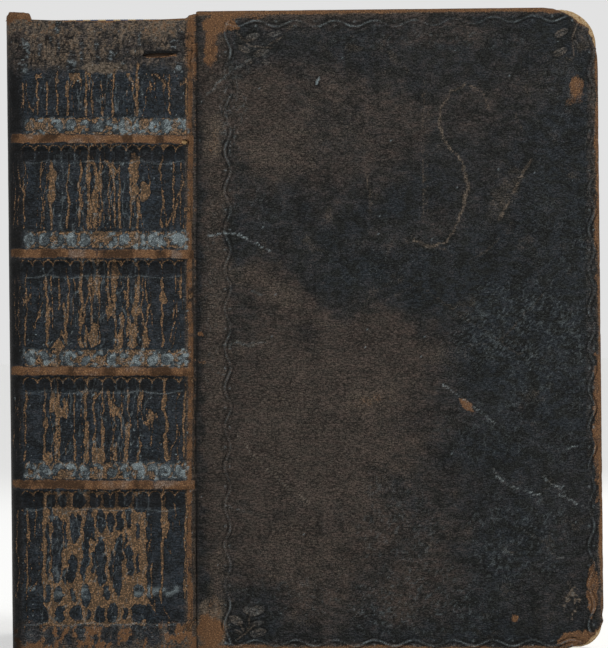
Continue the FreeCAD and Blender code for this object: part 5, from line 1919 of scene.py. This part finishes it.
endpaper = paper_material("endpaper", ENDPAPER, ENDPAPER_STAIN)
INNER_FACE = paper_high.y
SHOULDER_FACE = 0.95
GUTTER = flyleaf_low.x + 0.35
FREE_LEAF_THICK = 0.12
PASTED_LEAF_THICK = 0.10
BOARD_GAP = 0.02
for side in ("front", "back"):
    sign = 1 if side == "front" else -1
    flat_run = np.linspace(flyleaf_low.y, flyleaf_high.y, 60)
    route = [((flyleaf_high.x - FREE_LEAF_THICK) * sign, y) for y in flat_run]
    leaf = sheet_mesh(
        f"{side}_free_leaf", route, flyleaf_low.z, flyleaf_high.z,
        -FREE_LEAF_THICK * sign, 70, endpaper,
    )
    stand_in(leaf, "book_block", f"{side}_flyleaf")

    # the pasted leaf runs over the shoulder of the leaves and the joint onto the board
    far = np.linspace(3.0, paper_high.x - HINGE, 64)
    if side == "front":
        route = [(GUTTER, SHOULDER_FACE), (27.8, SHOULDER_FACE), (29.2, SHOULDER_FACE)]
        route += [(30.1, 1.1), (31.2, 1.0), (32.3, 1.2), (32.36, 2.4), (32.4, 3.9), (32.7, 4.28)]
        route += [(HINGE + u, INNER_FACE - BOARD_GAP) for u in far]
    else:
        route = [(-GUTTER, SHOULDER_FACE), (-27.8, SHOULDER_FACE), (-29.2, SHOULDER_FACE)]
        route += [(-29.9, 1.08), (-30.12, 1.25), (-29.9, 1.42), (-28.6, 1.45), (-27.1, 1.46)]
        route += [(-26.68, 1.8)]
        route += [(-HINGE + INNER_FACE - BOARD_GAP, u) for u in far]
    pasted = sheet_mesh(
        f"{side}_pasted_leaf", route, paper_low.z, paper_high.z, PASTED_LEAF_THICK, 90, endpaper,
    )
    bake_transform(pasted)
    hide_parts(f"{side}_pastedown")

hemp = cord_material()
for number in CORD_NUMBERS:
    stand_in(make_cord(number, hemp), "book_block", f"sewing_cord_{number}")

thread = thread_material()
for end in ("head", "tail"):
    low, high = book_box(f"{end}_endband")
    band = make_endband(f"{end}_band", low, high, thread)
    stand_in(band, "book_block", f"{end}_endband")

lining_finish = plain_node_material("glued_lining", GLUE_BROWN, GLUE_BLACK)
for number in range(1, 6):
    dress_node(f"spine_lining_{number}", lining_finish)
slip_finish = plain_node_material("frayed_slip", SLIP_PALE, SLIP_BROWN)
for side in ("front", "back"):
    for number in CORD_NUMBERS:
        dress_node(f"{side}_cord_slip_{number}", slip_finish)
dress_node("back_board", plain_node_material("plain_board", PLAIN_BOARD, PLAIN_BOARD_BROWN))


# Floor, light and camera

FLOOR_SEEN = 0.42
FLOOR_HALF = 14.0


def make_floor():
    """A wide pale floor that keeps the book's shadow."""
    half = FLOOR_HALF
    mesh = bpy.data.meshes.new("floor")
    corners = [(-half, -half, 0), (half, -half, 0), (half, half, 0), (-half, half, 0)]
    mesh.from_pydata(corners, [], [(0, 1, 2, 3)])
    floor = bpy.data.objects.new("floor", mesh)
    bpy.context.scene.collection.objects.link(floor)
    material = bpy.data.materials.new("floor_paint")
    material.use_nodes = True
    surface = material.node_tree.nodes["Principled BSDF"]
    surface.inputs["Base Color"].default_value = FLOOR_PAINT
    surface.inputs["Roughness"].default_value = 0.95
    surface.inputs["Specular IOR Level"].default_value = 0.1
    surface.inputs["Emission Color"].default_value = (1, 1, 1, 1)
    path = material.node_tree.nodes.new("ShaderNodeLightPath")
    seen = material.node_tree.nodes.new("ShaderNodeMath")
    seen.operation = "MULTIPLY"
    seen.inputs[1].default_value = FLOOR_SEEN
    material.node_tree.links.new(path.outputs["Is Camera Ray"], seen.inputs[0])
    material.node_tree.links.new(seen.outputs[0], surface.inputs["Emission Strength"])
    mesh.materials.append(material)
    floor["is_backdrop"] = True


WORLD_LIGHT = 0.42
WORLD_SEEN = 0.76


def make_world():
    """Soft light from all round, and a pale background for the camera alone."""
    world = bpy.data.worlds.new("studio")
    bpy.context.scene.world = world
    world.use_nodes = True
    nodes = world.node_tree.nodes
    links = world.node_tree.links
    nodes.clear()
    out = nodes.new("ShaderNodeOutputWorld")
    lit = nodes.new("ShaderNodeBackground")
    lit.inputs["Color"].default_value = (1, 1, 1, 1)
    lit.inputs["Strength"].default_value = WORLD_LIGHT
    seen = nodes.new("ShaderNodeBackground")
    seen.inputs["Color"].default_value = (1, 1, 1, 1)
    seen.inputs["Strength"].default_value = WORLD_SEEN
    path = nodes.new("ShaderNodeLightPath")
    pick = nodes.new("ShaderNodeMixShader")
    links.new(path.outputs["Is Camera Ray"], pick.inputs["Fac"])
    links.new(lit.outputs[0], pick.inputs[1])
    links.new(seen.outputs[0], pick.inputs[2])
    links.new(pick.outputs[0], out.inputs["Surface"])


def make_lamp(name, place, target, size, power):
    light = bpy.data.lights.new(name, "AREA")
    light.shape = "SQUARE"
    light.size = size
    light.energy = power
    lamp = bpy.data.objects.new(name, light)
    lamp.location = place
    lamp.rotation_euler = (Vector(target) - Vector(place)).to_track_quat("-Z", "Y").to_euler()
    bpy.context.scene.collection.objects.link(lamp)


AIM = (0.0, JOINT_Y, HEIGHT / 2 * MM)


def make_lights():
    """A key lamp from the upper right and a weaker one from the left."""
    make_lamp("key", (0.85, -1.15, 1.15), AIM, 0.5, 15.0)
    make_lamp("fill", (-1.2, -1.0, 0.5), AIM, 0.8, 3.0)
    make_lamp("back", (0.6, 1.4, 1.0), AIM, 0.8, 6.0)


CAMERA_LENS = 300.0
SENSOR = 36.0


def make_camera():
    """The photograph's view: square on to the spine and the opened front cover."""
    data = bpy.data.cameras.new("camera")
    data.lens = CAMERA_LENS
    data.sensor_width = SENSOR
    data.clip_end = 50
    camera = bpy.data.objects.new("camera", data)
    distance = CAMERA_LENS / SENSOR * PHOTO_HEIGHT_PX * PIXEL * MM
    x, y, z = in_frame([MIDDLE_ACROSS, 0.0, MIDDLE_UP])
    turn = Matrix.Rotation(math.pi / 2, 4, "X") @ Matrix.Rotation(-TURN, 4, "Z")
    camera.matrix_world = Matrix.Translation((x, y - distance, z)) @ turn
    bpy.context.scene.collection.objects.link(camera)
    bpy.context.scene.camera = camera


make_floor()
make_world()
make_lights()
make_camera()
bpy.context.scene.view_settings.view_transform = "Standard"

low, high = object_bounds()
